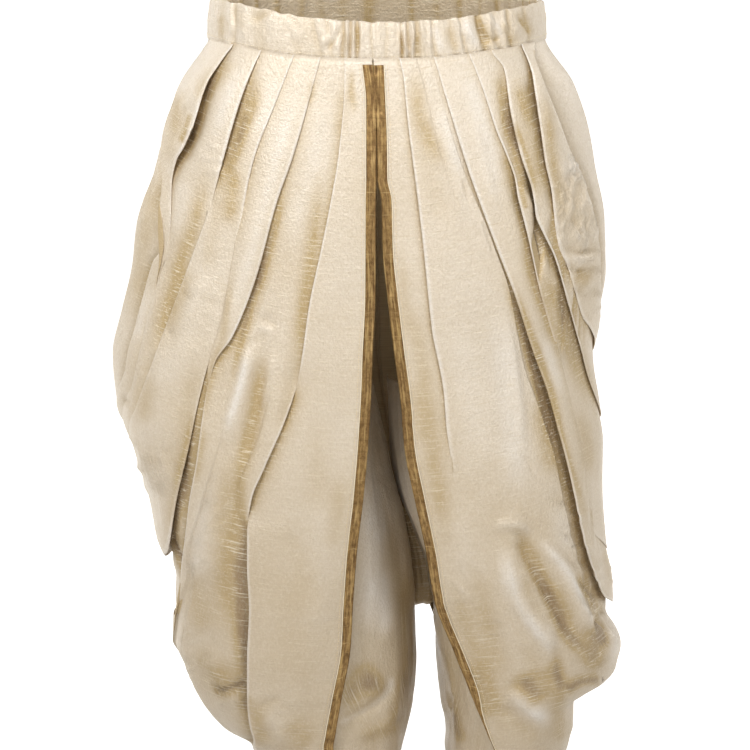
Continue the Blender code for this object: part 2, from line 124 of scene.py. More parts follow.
INNER = [
    # z,   r_cx, r_in, l_cx, l_in, front, back, start, stop
    (-375, -62, -4, 76, 14, -86, 60, 25, -92),
    (-450, -64, 11, 84, 18, -100, 75, 25, -94),
    (-500, -68, 21, 94, 27, -110, 85, 22, -96),
    (-550, -76, 31, 112, 45, -118, 92, 20, -98),
    (-600, -84, 38, 135, 62, -122, 100, 18, -102),
    (-650, -88, 43, 155, 66, -124, 133, 18, -132),
    (-700, -84, 45, 160, 71, -122, 121, 20, -136),
    (-750, -72, 41, 152, 77, -115, 108, 18, -138),
    (-810, -52, 30, 145, 82, -103, 91, 19, -140),
    (-860, -47, 20, 140, 84, -90, 79, 24, -140),
    (-925, -43, 8, 135, 86, -66, 61, 36, -140),
]
MIDDLE = [
    # z, x
    (0, 0), (-350, 2), (-450, 14), (-500, 25), (-550, 37), (-600, 48),
    (-650, 55), (-800, 56), (-970, 56),
]
SEAM = [
    # z, right, left
    (-318, 90, 90), (-365, 90, 97), (-405, 91, 102), (-450, 98, 107), (-500, 107, 112),
    (-560, 115, 118), (-620, 121, 123), (-700, 128, 128), (-770, 131, 131), (-970, 131, 131),
]
CROTCH = [
    # y, z
    (0, -526), (10, -552), (24, -592), (38, -628), (52, -646), (62, -648),
]
LEVELS = (-22, -100, -200, -300, -400, -500, -600, -700)


# ---------------------------------------------------------------- curves
def monotone(k, v, t):
    """Smooth curve through (k, v) that never overshoots; k rises."""
    k, v = np.asarray(k, float), np.asarray(v, float)
    t = np.clip(np.asarray(t, float), k[0], k[-1])
    i = np.clip(np.searchsorted(k, t, side="right") - 1, 0, len(k) - 2)
    step = np.diff(v) / np.diff(k)
    m = np.empty(len(k))
    m[0], m[-1] = step[0], step[-1]
    if len(k) > 2:
        a, b = step[:-1], step[1:]
        s = a + b
        m[1:-1] = np.where(a * b > 0, 2 * a * b / np.where(s == 0, 1, s), 0.0)
    h = k[i + 1] - k[i]
    u = (t - k[i]) / h
    return (v[i] * (1 + 2 * u) * (1 - u) ** 2 + m[i] * h * u * (1 - u) ** 2
            + v[i + 1] * u * u * (3 - 2 * u) + m[i + 1] * h * u * u * (u - 1))


def smooth(rows, column, mm):
    return monotone([-r[0] for r in rows], [r[column] for r in rows], -np.asarray(mm, float))


def ease(x):
    x = np.clip(x, 0.0, 1.0)
    return x * x * (3 - 2 * x)


def section(side, z):
    mm = np.asarray(z) / MM
    first = 1 if side < 0 else 4
    out, inn, cx = (smooth(BODY, first + c, mm) * MM for c in range(3))
    return cx, out, inn, smooth(BODY, 7, mm) * MM, smooth(BODY, 8, mm) * MM


def on_body(side, a, z):
    """Outside of the cloth at an angle round from the front and a level."""
    a, z = np.broadcast_arrays(np.asarray(a, float), np.asarray(z, float))
    cx, out, inn, front, back = section(side, z)
    s, c = np.sin(np.radians(a)), np.cos(np.radians(a))
    e = 2.0 / ROUND
    x = cx + (np.where(s >= 0, out, inn) - cx) * np.abs(s) ** e
    y = np.where(c >= 0, front, back) * np.abs(c) ** e
    return np.stack((x, y, z), axis=-1)


def on_inner(side, a, z):
    """Outside of an inner leg panel."""
    a, z = np.broadcast_arrays(np.asarray(a, float), np.asarray(z, float))
    mm = z / MM
    first = 1 if side < 0 else 3
    cx, inn = smooth(INNER, first, mm) * MM, smooth(INNER, first + 1, mm) * MM
    front, back = smooth(INNER, 5, mm) * MM, smooth(INNER, 6, mm) * MM
    s, c = np.sin(np.radians(a)), np.cos(np.radians(a))
    e = 2.0 / ROUND
    x = cx + (inn - cx) * np.abs(s) ** e * np.where(s >= 0, -1, 1)
    y = np.where(c >= 0, front, back) * np.abs(c) ** e
    return np.stack((x, y, z), axis=-1)


def angle_at(side, x, z, behind=False):
    cx, out, inn, _, _ = section(side, z)
    outward = (x - cx) * side >= 0
    part = np.minimum(np.abs(x - cx) / np.abs(np.where(outward, out, inn) - cx), 1.0)
    a = np.degrees(np.arcsin(part ** (ROUND / 2.0)))
    a = np.where(outward, a, -a)
    return 180.0 - a if behind else a


def surface(place, side, a, z):
    """Points, outward directions, and metres for a degree and for a metre of z."""
    da, dz = 1.2, 0.004
    across = place(side, a + da, z) - place(side, a - da, z)
    down = place(side, a, z - dz) - place(side, a, z + dz)
    n = np.cross(across, down) * (1 if side < 0 else -1)
    n /= np.linalg.norm(n, axis=-1, keepdims=True)
    return (place(side, a, z), n, np.linalg.norm(across, axis=-1) / (2 * da),
            np.linalg.norm(down, axis=-1) / (2 * dz))


def seam_level(a):
    c = np.cos(np.radians(a))
    return np.where(c > 0, -BAND_DIP * c ** 2, 0.004 * c ** 2)


def seam_angle(side, z):
    return smooth(SEAM, 1 if side < 0 else 2, np.asarray(z) / MM)


def on_picture(side, px, py):
    """Angle and level of the front cloth at pixels of the view."""
    px, py = np.asarray(px, float), np.asarray(py, float)
    y = np.full(px.shape, -0.13)
    for _ in range(40):
        x, z = ray(px, py, y)
        a = angle_at(side, x, z)
        y = 0.6 * y + 0.4 * on_body(side, a, z)[..., 1]
    return a, z


def even(points, count):
    """Points spread evenly along a smooth line through the given ones."""
    p = np.array(points, float)
    metric = p * np.array((0.0042, 1.0))
    far = np.concatenate(([0], np.cumsum(np.linalg.norm(np.diff(metric, axis=0), axis=1))))
    fine = np.linspace(0, far[-1], 900)
    line = np.stack([monotone(far, p[:, c], fine) for c in (0, 1)], axis=1)
    for _ in range(12):                                  # rounds the corners a little
        line[1:-1] = 0.25 * line[:-2] + 0.5 * line[1:-1] + 0.25 * line[2:]
    metric = line * np.array((0.0042, 1.0))
    far = np.concatenate(([0], np.cumsum(np.linalg.norm(np.diff(metric, axis=0), axis=1))))
    want = np.linspace(0, far[-1], count)
    return np.stack([np.interp(want, far, line[:, c]) for c in (0, 1)], axis=1)


# ---------------------------------------------------------------- seeded variation
def wander(t, knots, seed):
    """Smooth random course from -1 to 1 over t in 0..1."""
    v = np.random.default_rng(seed).uniform(-1, 1, knots + 3)
    x = np.clip(t, 0, 1) * knots
    i = np.floor(x).astype(int)
    f = ease(x - i)
    return v[i] * (1 - f) + v[i + 1] * f


def patch(x, y, seed):
    """Smooth random field from -1 to 1, one cell is 1 x 1."""
    table = np.random.default_rng(seed).uniform(-1, 1, (64, 64))
    i, j = np.floor(x).astype(int), np.floor(y).astype(int)
    f, g = ease(x - i), ease(y - j)
    i0, i1, j0, j1 = i % 64, (i + 1) % 64, j % 64, (j + 1) % 64
    return ((table[i0, j0] * (1 - f) + table[i1, j0] * f) * (1 - g)
            + (table[i0, j1] * (1 - f) + table[i1, j1] * f) * g)


def crumple(x, y, seed):
    """Sharp-crested small wrinkles, 0 to 1."""
    w = 0.5 * patch(x * 0.6 + 11, y * 0.6, seed + 5)
    return (1 - np.abs(patch(x + w, y - w, seed))) ** 3


# ---------------------------------------------------------------- creases
def polyline(px, py, line):
    """Distance to a line of points, the share along it, and which side."""
    p = np.array(line, float)
    far = np.concatenate(([0], np.cumsum(np.linalg.norm(np.diff(p, axis=0), axis=1))))
    best = np.full(px.shape, 1e9)
    along, hand = np.zeros(px.shape), np.ones(px.shape)
    for i in range(len(p) - 1):
        d = p[i + 1] - p[i]
        size = float(d @ d)
        t = np.clip(((px - p[i, 0]) * d[0] + (py - p[i, 1]) * d[1]) / size, 0, 1)
        qx, qy = px - p[i, 0] - t * d[0], py - p[i, 1] - t * d[1]
        dist = np.hypot(qx, qy)
        near = dist < best
        best = np.where(near, dist, best)
        along = np.where(near, (far[i] + t * sqrt(size)) / far[-1], along)
        hand = np.where(near, np.sign(d[0] * qy - d[1] * qx), hand)
    return best, along, hand


def bend(line, steps=6):
    """Smooth line through a few points."""
    p = np.array(line, float)
    if len(p) < 3:
        return p
    far = np.concatenate(([0], np.cumsum(np.linalg.norm(np.diff(p, axis=0), axis=1))))
    t = np.linspace(0, far[-1], steps * (len(p) - 1) + 1)
    return np.stack([monotone(far, p[:, c], t) for c in (0, 1)], axis=1)


def creases(px, py, table):
    """Heights in mm of soft ridges (+) and troughs (-). Each row has its line of
    points, its half width to the left and to the right of travel, and height,
    then how long it fades in and out, as shares of its length."""
    total = np.zeros(px.shape)
    for row in table:
        line, left, right, height = row[:4]
        start, stop = row[4:6] if len(row) > 5 else (0.3, 0.3)
        p = bend(line)
        reach = 3.2 * max(left, right)
        close = ((px > p[:, 0].min() - reach) & (px < p[:, 0].max() + reach)
                 & (py > p[:, 1].min() - reach) & (py < p[:, 1].max() + reach))
        if not close.any():
            continue
        d, t, hand = polyline(px[close], py[close], p)
        width = np.where(hand > 0, left, right)
        fade = ease(t / max(start, 1e-3)) * ease((1 - t) / max(stop, 1e-3))
        total[close] += height * fade * np.exp(-(d / width) ** 2)
    return total


# ---------------------------------------------------------------- meshes
def mesh_object(name, verts, faces, mats, uv=None, tone_and_painted_light=None, thick=0.0, smooth_faces=True):
    mesh = bpy.data.meshes.new(name)
    verts = np.asarray(verts, np.float32)
    faces = np.asarray(faces, np.int32)
    n = faces.shape[1]
    mesh.vertices.add(len(verts))
    mesh.vertices.foreach_set("co", verts.ravel())
    mesh.loops.add(faces.size)
    mesh.loops.foreach_set("vertex_index", faces.ravel())
    mesh.polygons.add(len(faces))
    mesh.polygons.foreach_set("loop_start", np.arange(0, faces.size, n, dtype=np.int32))
    mesh.update(calc_edges=True)
    if uv is not None:
        layer = mesh.uv_layers.new(name="cloth")
        layer.data.foreach_set("uv", np.asarray(uv, np.float32)[faces.ravel()].ravel())
    # per-vertex colour shift of the silk: painted shade (golden, above 0) and painted highlight (pale, below 0), with a
    # little random unevenness
    data = mesh.attributes.new("tone_and_painted_light", "FLOAT", "POINT")
    data.data.foreach_set("value", (np.zeros(len(verts)) if tone_and_painted_light is None else np.asarray(tone_and_painted_light)).astype(np.float32))
    mesh.validate()
    if smooth_faces:
        mesh.shade_smooth()
    obj = bpy.data.objects.new(name, mesh)
    bpy.context.scene.collection.objects.link(obj)
    mats = mats if isinstance(mats, (list, tuple)) else [mats]
    for mat in mats:
        mesh.materials.append(mat)
    if thick:
        m = obj.modifiers.new("wall", "SOLIDIFY")
        m.thickness = thick
        m.offset = -1.0
        m.use_rim = True
        m.use_even_offset = False
        m.material_offset = len(mats) - 1
    return obj


def grid_faces(rows, cols, wrap=False):
    r, c = np.meshgrid(np.arange(rows - 1), np.arange(cols if wrap else cols - 1), indexing="ij")
    d = (c + 1) % cols
    return np.stack((r * cols + c, (r + 1) * cols + c, (r + 1) * cols + d, r * cols + d), axis=-1).reshape(-1, 4)


def grid_normals(p, flip=1.0):
    n = np.cross(np.gradient(p, axis=0), np.gradient(p, axis=1))
    n /= np.linalg.norm(n, axis=-1, keepdims=True) + 1e-12
    return n * flip


def sheet_object(name, p, n, mat, tone_and_painted_light, thick=THREAD, plumb=True):
    """A grid of points as a thin sheet whose wall lies inside it. With plumb, the
    weft runs square to pleats that fan out from above the waist."""
    rows, cols = p.shape[:2]
    faces = grid_faces(rows, cols)
    if (grid_normals(p) * n).sum() < 0:
        faces = faces[:, ::-1]
    across = np.linalg.norm(np.diff(p, axis=1), axis=-1)
    down = np.linalg.norm(np.diff(p, axis=0), axis=-1)
    u = np.concatenate((np.zeros((rows, 1)), np.cumsum(across, axis=1)), axis=1)
    v = np.concatenate((np.zeros((1, cols)), np.cumsum(down, axis=0)), axis=0)
    if plumb:
        v = np.hypot(p[..., 0], p[..., 2] - 0.38)
    uv = np.stack((u, 1.5 - v), axis=-1).reshape(-1, 2)
    return mesh_object(name, p.reshape(-1, 3), faces, mat, uv, tone_and_painted_light.ravel(), thick)


# ---------------------------------------------------------------- pleated drape
# Fold profile across a folded edge with the outer strip on top, in the cloth's
# order from the inner strip to the outer one: distance outwards and which height.
BEAD = 1.0 * MM


def fold_profile(d, deep, high):
    """Seven (outward, height) pairs across a fold, arrays down the fold."""
    z = np.zeros_like(d)
    bead = BEAD * np.clip(high / (2.4 * MM), 0.05, 1.0)
    return [
        (d, -deep),
        (0.72 * d + z, -0.9 * deep + 0.10 * high),
        (0.30 * d + z, np.maximum(high - 3.6 * bead, -0.6 * deep + 0.3 * high)),
        (0.2 * bead + z, high - 2.0 * bead),
        (-1.0 * bead + z, high - 1.2 * bead),
        (-0.7 * bead + z, high - 0.35 * bead),
        (0.6 * bead + z, high),
    ]


def lay_drape(place, side, lines, counts, outward, rows):
    """Builds the columns of a pleated drape. Each line is a dict with pts, and for
    folds f, high, deep, wide and lap. Returns base angle, level, height, painted shade
    and highlight, and the column where each line's inner and outer strips meet it."""
    info = []
    for ln in lines:
        a, z = ln["pts"].T
        _, _, ma, mz = surface(place, side, a, z)
        ta, tz = np.gradient(a) * ma, np.gradient(z) * mz
        size = np.hypot(ta, tz)
        na, nz = -tz / size * outward, ta / size * outward
        info.append((a, z, ma, mz, na, nz))

    def shift(i, x):
        a, z, ma, mz, na, nz = info[i]
        return a + na * x / ma, z + nz * x / mz

    cols = []

    def fold_columns(i):
        ln = lines[i]
        f = ln["f"]
        p, m = np.maximum(f, 0), np.maximum(-f, 0)
        up = fold_profile(ln["lap"], ln["deep"], ln["high"])
        down = [(-x, h) for x, h in up[::-1]]
        out = []
        for k in range(7):
            x = p * up[k][0] + m * down[k][0] + (k - 3) * 0.25 * MM * (1 - p - m)
            h = p * up[k][1] + m * down[k][1]
            under_fold_shade = (p * (k < 4) + m * (k > 2)) * np.clip(ln["high"] / (1.8 * MM), 0, 1)
            rim = p * (k > 3) + m * (k < 3)
            a, z = shift(i, x)
            # painted shade on the columns folded under, painted highlight along the rim of the fold
            out.append((a, z, h, under_fold_shade * (0.75 + 0.5 * ln["shade_tint"]) - 0.5 * rim))
        return out

    folds = {i: fold_columns(i) for i, ln in enumerate(lines) if ln["kind"] == "fold"}
    rims = {}
    for i in range(len(lines) - 1):
        first, second = lines[i], lines[i + 1]
        if i in folds:
            rims[i] = (len(cols), len(cols) + 6)
            cols += folds[i]
            a0, z0 = folds[i][-1][:2]
        else:
            a0, z0 = first["pts"].T
            if i == 0 or first["kind"] == "run":
                rims[i] = (len(cols), len(cols))
                cols.append(None)
        a1, z1 = folds[i + 1][0][:2] if i + 1 in folds else second["pts"].T
        n = counts[i]
        s_list = [k / (n + 1) for k in range(1, n + 1)]
        s_list = [0.72 * s + 0.28 * (0.5 - 0.5 * np.cos(pi * s)) for s in s_list]
        if cols[-1] is None:
            cols.pop()
            s_list = [0.0] + s_list
        if i == len(lines) - 2 and i + 1 not in folds:
            s_list = s_list + [1.0]
        for s in s_list:
            a, z = a0 + (a1 - a0) * s, z0 + (z1 - z0) * s
            h, tone_and_painted_light = np.zeros(rows), np.zeros(rows)
            for j, sign in ((i, 1), (i + 1, -1)):
                ln = lines[j]
                if ln["kind"] != "fold":
                    continue
                aj, zj, ma, mz, na, nz = info[j]
                dist = ((a - aj) * ma * na + (z - zj) * mz * nz) * sign   # into this strip
                f = ln["f"] * sign
                p, m = np.maximum(f, 0), np.maximum(-f, 0)
                near = np.maximum(dist, 0)
                fall = np.exp(-(near / ln["wide"]) ** 2)
                h += p * ln["high"] * np.exp(-(near / 0.034) ** 2) - m * ln["deep"] * fall
                # painted shade on the strip that runs under a fold, deepest next to its edge
                tone_and_painted_light += m * (ln["shade_tint"] * fall + 0.30 * np.exp(-(near / (5.0 * MM)) ** 2) * np.clip(ln["high"] / (3 * MM), 0, 1))
            puff = np.sin(pi * np.clip(s, 0, 1)) * first.get("puff", np.zeros(rows))
            cols.append((a, z, h + puff, tone_and_painted_light))
    rims[len(lines) - 1] = (len(cols) - 1, len(cols) - 1)
    a, z, h, tone_and_painted_light = (np.stack([c[k] for c in cols], axis=1) for k in range(4))
    return a, z, h, tone_and_painted_light, rims


def row_values(table, key):
    """Value down a line from (key, value) rows."""
    if np.isscalar(table):
        return np.full(key.shape, float(table))
    k, v = [r[0] for r in table], [r[1] for r in table]
    return monotone(k, v, key) if len(k) > 1 else np.full(key.shape, float(v[0]))


def tail(side, turn, seam, end):
    """The end of a line that leaves the front: round the side to the seam, or
    round the calf to the ankle."""
    pts = []
    if turn is not None and seam is None:
        pts += [(92.0, turn * MM), (end - 6.0, (turn * MM + CUFF_TOP) / 2)]
    elif turn is not None:
        last = float(seam_angle(side, seam * MM))
        pts.append((90.0, turn * MM))
        if last > 104.0:
            pts.append((0.45 * 90.0 + 0.55 * last, (0.4 * turn + 0.6 * seam) * MM))
        if last > 91.5:
            pts.append((last, seam * MM))
    if end is not None:
        pts.append((end, CUFF_TOP + SEAM_GAP))
    return pts


def front_line(side, row, rows):
    """A front line as (angle, level) rows, from pixels or from x at levels."""
    pts = []
    if "px" in row:
        a, z = on_picture(side, [p[0] for p in row["px"]], [p[1] for p in row["px"]])
        pts = list(zip(a, z))
    for level, x in row.get("levels", ()):
        pts.append((float(angle_at(side, x * MM, level * MM)), level * MM))
    pts[0] = (pts[0][0], float(seam_level(pts[0][0])) - SEAM_GAP)
    pts += tail(side, *row.get("tail", (None, None, None)))
    return even(pts, rows)


def finish_line(side, row, rows, key_from):
    """Adds the fold values down a line."""
    pts = key_from["pts"]
    w = np.linspace(0, 1, rows)
    key = picture(on_body(side, pts[:, 0], pts[:, 1]))[1]
    ln = dict(pts=pts, kind=row["kind"])
    seed = row.get("seed", 1)
    if row["kind"] == "fold":
        ramp = 0.5 + 0.5 * ease(w / 0.14)
        fade = 1.0 - 0.55 * ease((w - 0.9) / 0.1)
        uneven = 1.0 + 0.16 * wander(w, 7, seed)
        ln["f"] = row_values(row["f"], key)
        ln["high"] = row_values(row["high"], key) * MM * ramp * fade * uneven
        ln["deep"] = row_values(row["deep"], key) * MM * ramp * fade
        ln["wide"] = row_values(row.get("wide", 13), key) * MM * (0.5 + 0.5 * ramp)
        ln["lap"] = row.get("lap", 12) * MM * (0.5 + 0.5 * ramp)
        # how much painted shade the fold lays on the strip beneath it
        ln["shade_tint"] = row_values(row.get("shade_tint", 0.8), key) * (0.3 + 0.5 * ease(w / 0.1))
    ln["puff"] = row.get("puff", 2.0) * MM * ease(w / 0.25) * (0.7 + 0.3 * wander(w, 6, seed + 40))
    return ln


# Free edges and pleats. px are pixels of the view; f is how the fold lies at a
# height in the view: above 0 the outer strip is on top, below 0 the inner one.
RIGHT_FRONT = [
    dict(name="free", kind="edge", puff=1.0,
         px=[(372, 61), (376, 103), (376, 180), (375.5, 200), (375, 300), (372.6, 350), (370.7, 400),
             (367.5, 450), (363, 500), (357, 550), (353, 600), (350, 650), (341, 700), (332.7, 750)],
         levels=[(-830, -57), (-880, -63), (-925, -66)]),
    dict(name="panel_edge", kind="fold", seed=3, puff=1.5,
         px=[(345, 60), (345, 80), (340, 150), (332, 200), (322, 250), (310, 307), (301, 368), (284, 420),
             (263, 468), (250, 500), (248, 515), (248, 565), (250, 612), (248, 660), (248, 699), (250, 723),
             (258, 750)],
         tail=(None, None, 50),
         f=[(60, -0.7), (250, -0.9), (350, -0.8), (385, 0.0), (410, 0.8), (500, 0.9), (520, 0.0), (540, -0.9), (720, -1.0)],
         high=[(60, 2.2), (300, 2.4), (450, 3.6), (560, 4.0), (700, 5)],
         deep=[(60, 1.0), (250, 1.2), (340, 1.5), (450, 1.8), (560, 4.5), (700, 8)], wide=[(60, 8), (300, 10), (600, 11)],
         shade_tint=[(60, 0.35), (300, 0.55), (500, 0.6), (560, 0.9)]),
    dict(name="calf_front", kind="run", puff=0.0,
         levels=[(-22, -36), (-100, -47), (-200, -67), (-300, -96), (-400, -119), (-500, -156), (-600, -178), (-700, -186)],
         tail=(None, None, 88)),
    dict(name="calf_back", kind="run", puff=0.0,
         levels=[(-22, -42), (-100, -57), (-200, -81), (-300, -114), (-400, -141), (-500, -172), (-600, -196), (-700, -208)],
         tail=(-725, None, 131)),
    dict(name="calf_seam", kind="run", puff=0.0,
         levels=[(-22, -49), (-100, -66), (-200, -94), (-300, -128), (-400, -158), (-500, -187), (-600, -204)],
         tail=(-695, -765, None)),
    dict(name="fold_2", kind="fold", seed=5, puff=2.5,
         px=[(320, 57), (306, 108), (291, 158), (276, 200), (253, 282), (230, 338), (215, 360), (207, 391),
             (196, 468), (190, 500), (185, 542), (182, 565), (179, 603), (177, 630)],
         tail=(-655, -640, None),
         f=[(57, 0.6), (150, 0.8), (250, 1), (330, 1), (372, 0.2), (400, -0.3), (430, -0.7), (560, -0.8), (630, -0.5)],
         high=[(57, 2.2), (250, 2.8), (340, 3.2), (450, 4.5), (600, 5)],
         deep=[(57, 1.0), (220, 1.4), (290, 2.4), (350, 2.2), (430, 4), (540, 7), (600, 5)],
         wide=[(57, 7), (240, 11), (330, 14), (430, 12), (560, 14)],
         shade_tint=[(57, 0.3), (220, 0.4), (280, 0.9), (400, 0.7), (540, 1.0)]),
    dict(name="fold_3", kind="fold", seed=7, puff=2.0,
         px=[(294, 54), (275, 102), (254, 154), (247, 182), (241, 216), (232, 260), (222, 315), (210, 355),
             (198, 400), (187, 450), (175, 500), (168, 543), (165, 560)],
         tail=(-590, -574, None),
         f=[(54, 0.8), (170, 0.9), (216, 0.6), (262, 0.15), (340, 0.15), (420, 0.5), (480, 0.8), (560, 0.9)],
         high=[(54, 2.0), (216, 2.4), (480, 3.6), (550, 6)], deep=[(54, 1.0), (216, 1.2), (480, 3.4), (550, 7)],
         wide=[(54, 6), (300, 10)], shade_tint=[(54, 0.25), (300, 0.2), (520, 0.9)]),
    dict(name="fold_4", kind="fold", seed=9, puff=2.0,
         px=[(263, 45), (242, 91), (223, 154), (209, 210), (191, 260), (170, 316), (152, 364), (140, 396), (130, 425)],
         tail=(-470, -478, None),
         f=[(45, 0.6), (90, 1), (150, 1), (190, 0.3), (240, -0.35), (330, -0.35), (396, -0.25)],
         high=[(45, 2.5), (120, 4.0), (300, 3.0)], deep=[(45, 1), (90, 3.5), (150, 3), (200, 1.8), (300, 2.5), (400, 2)],
         wide=[(45, 7), (100, 14), (160, 13), (300, 15)],
         shade_tint=[(45, 0.3), (80, 1.0), (160, 0.9), (200, 0.4), (260, 0.7), (396, 0.4)]),
    dict(name="fold_5", kind="fold", seed=11, puff=2.0,
         px=[(234, 42), (205, 84), (192, 124), (182, 147), (175, 160), (171, 182), (170, 225), (168, 252),
             (160, 275), (150, 310), (140, 350), (131, 395)],
         tail=(-432, -438, None),
         f=[(42, 0.9), (84, 1), (147, 1), (182, 0.35), (225, 0.15), (300, -0.2), (395, -0.2)],
         high=[(42, 3), (84, 4.5), (147, 4.5), (200, 3)], deep=[(42, 2), (84, 5), (130, 8), (182, 4), (300, 2.0)],
         wide=[(42, 8), (84, 13), (140, 12)], shade_tint=[(42, 0.5), (70, 1.0), (140, 0.9), (200, 0.5), (300, 0.4)]),
    dict(name="side_edge", kind="edge",
         px=[(214, 34), (192, 63), (175, 92), (163, 124), (161, 157), (163, 180), (160, 201), (163, 225),
             (164, 244), (152, 263), (144, 292), (133, 334), (124, 385)],
         tail=(-405, -405, None)),
]
LEFT_FRONT = [
    dict(name="free", kind="edge", puff=1.0,
         px=[(373.5, 59), (375.5, 103), (377, 138), (377.5, 180), (381.6, 200), (383, 250), (388, 300), (394, 350),
             (400.7, 400), (405, 450), (415, 500), (426, 550), (434.5, 600), (453.7, 650), (473.7, 700), (494.8, 750)],
         levels=[(-830, 146), (-880, 154), (-925, 157)]),
    dict(name="fold_1", kind="fold", seed=13, puff=2.0,
         px=[(400, 57), (404, 76), (409, 122), (417, 182), (425, 249), (430, 299), (434, 334), (440, 363),
             (445, 391), (448, 430), (453, 468), (460, 520)],
         levels=[(-600, 104), (-700, 132)], tail=(None, None, 52),
         f=[(57, 0.9), (430, 0.9), (478, 0.1), (500, 0.0), (750, 0.0)], lap=4,
         high=[(57, 2.8), (300, 2.8), (420, 2.2), (475, 1.0), (510, 0), (750, 0)], deep=[(57, 0.9), (200, 1.0), (400, 0.6), (475, 0.1), (500, 0), (750, 0)], wide=5,
         shade_tint=[(57, 0.2), (400, 0.2), (530, 0.0), (750, 0.0)]),
    dict(name="calf_front", kind="run", puff=0.0,
         levels=[(-22, 45), (-100, 65), (-200, 98), (-300, 124), (-400, 148), (-500, 172), (-600, 190), (-700, 204)],
         tail=(None, None, 78)),
    dict(name="calf_back", kind="run", puff=0.0,
         levels=[(-22, 51), (-100, 74), (-200, 112), (-300, 142), (-400, 171), (-500, 196), (-600, 222), (-700, 250)],
         tail=(-728, None, 131)),
    dict(name="calf_seam", kind="run", puff=0.0,
         levels=[(-22, 58), (-100, 82), (-200, 121), (-300, 151), (-400, 180), (-500, 206), (-600, 232)],
         tail=(-700, -750, None)),
    dict(name="fold_2", kind="fold", seed=15, puff=2.0,
         px=[(434, 55), (442, 82), (461, 142), (472, 176), (499, 249), (517, 296), (534, 349), (549, 391),
             (560, 430), (570, 468), (577, 500), (587, 546), (596, 574), (606, 600)],
         tail=(-640, -632, None),
         f=[(55, 0.7), (150, 1), (450, 1), (560, 0.9), (600, 0.8)],
         high=[(55, 2.2), (200, 2.6), (350, 4.0), (600, 5.5)],
         deep=[(55, 1.0), (180, 1.2), (280, 2.6), (400, 5.0), (520, 5.5), (600, 4.5)],
         wide=[(55, 7), (200, 11), (300, 18), (400, 26), (520, 28), (600, 18)],
         shade_tint=[(55, 0.25), (170, 0.2), (240, 0.25), (400, 0.3), (520, 0.3), (600, 0.2)]),
    dict(name="fold_3", kind="fold", seed=17, puff=1.5,
         px=[(465, 42), (484, 90), (499, 134), (506, 150), (517, 181), (519, 195), (522, 207), (530, 239),
             (541, 290), (553, 334), (566, 385), (578, 440), (588, 500), (596, 540)],
         tail=(-580, -560, None),
         f=[(42, 0.7), (150, 0.9), (240, 0.9), (334, 0.5), (400, 0.3), (540, 0.3)],
         high=[(42, 2.2), (150, 2.5), (207, 4), (300, 3)], deep=[(42, 1.0), (150, 1.4), (195, 5), (240, 3), (334, 2)],
         wide=[(42, 6), (195, 7), (300, 10)], shade_tint=[(42, 0.25), (160, 0.4), (195, 1.0), (300, 0.8), (380, 0.4)]),
    dict(name="fold_4", kind="fold", seed=19, puff=1.5,
         px=[(492, 52), (505, 69), (513, 115), (522, 153), (534, 191), (538, 217), (545, 233), (556, 256),
             (566, 290), (578, 334), (587, 366), (595, 405)],
         tail=(-428, -436, None),
         f=[(52, 0.6), (100, 1), (230, 1), (334, 0.7), (405, 0.4)],
         high=[(52, 2.2), (150, 4.0), (230, 4.5), (334, 3)], deep=[(52, 1.4), (100, 3), (150, 4), (190, 9), (230, 5), (300, 4), (400, 3)],
         wide=[(52, 8), (120, 11), (200, 9), (300, 14)], shade_tint=[(52, 0.6), (100, 0.9), (200, 1.0), (330, 1.0), (400, 0.6)]),
    dict(name="fold_5", kind="fold", seed=21, puff=1.5,
         px=[(522, 44), (534, 73), (536, 86), (543, 134), (547, 163), (553, 191), (557, 230), (560, 246),
             (568, 265), (577, 295), (585, 324)],
         tail=(-345, -362, None),
         f=[(44, 0.9), (73, 1), (200, 0.8), (324, 0.6)],
         high=[(44, 2.5), (100, 4.0), (324, 3)], deep=[(44, 2), (73, 5), (160, 4), (230, 3.5), (324, 2.5)],
         wide=[(44, 6), (160, 9)], shade_tint=[(44, 0.5), (80, 1.0), (230, 0.8), (324, 0.6)]),
    dict(name="side_edge", kind="edge",
         px=[(535, 58), (548, 92), (560, 122), (570, 149), (583, 176), (592, 205), (597, 226), (601, 250), (599, 290)],
         tail=(-318, -318, None)),
]

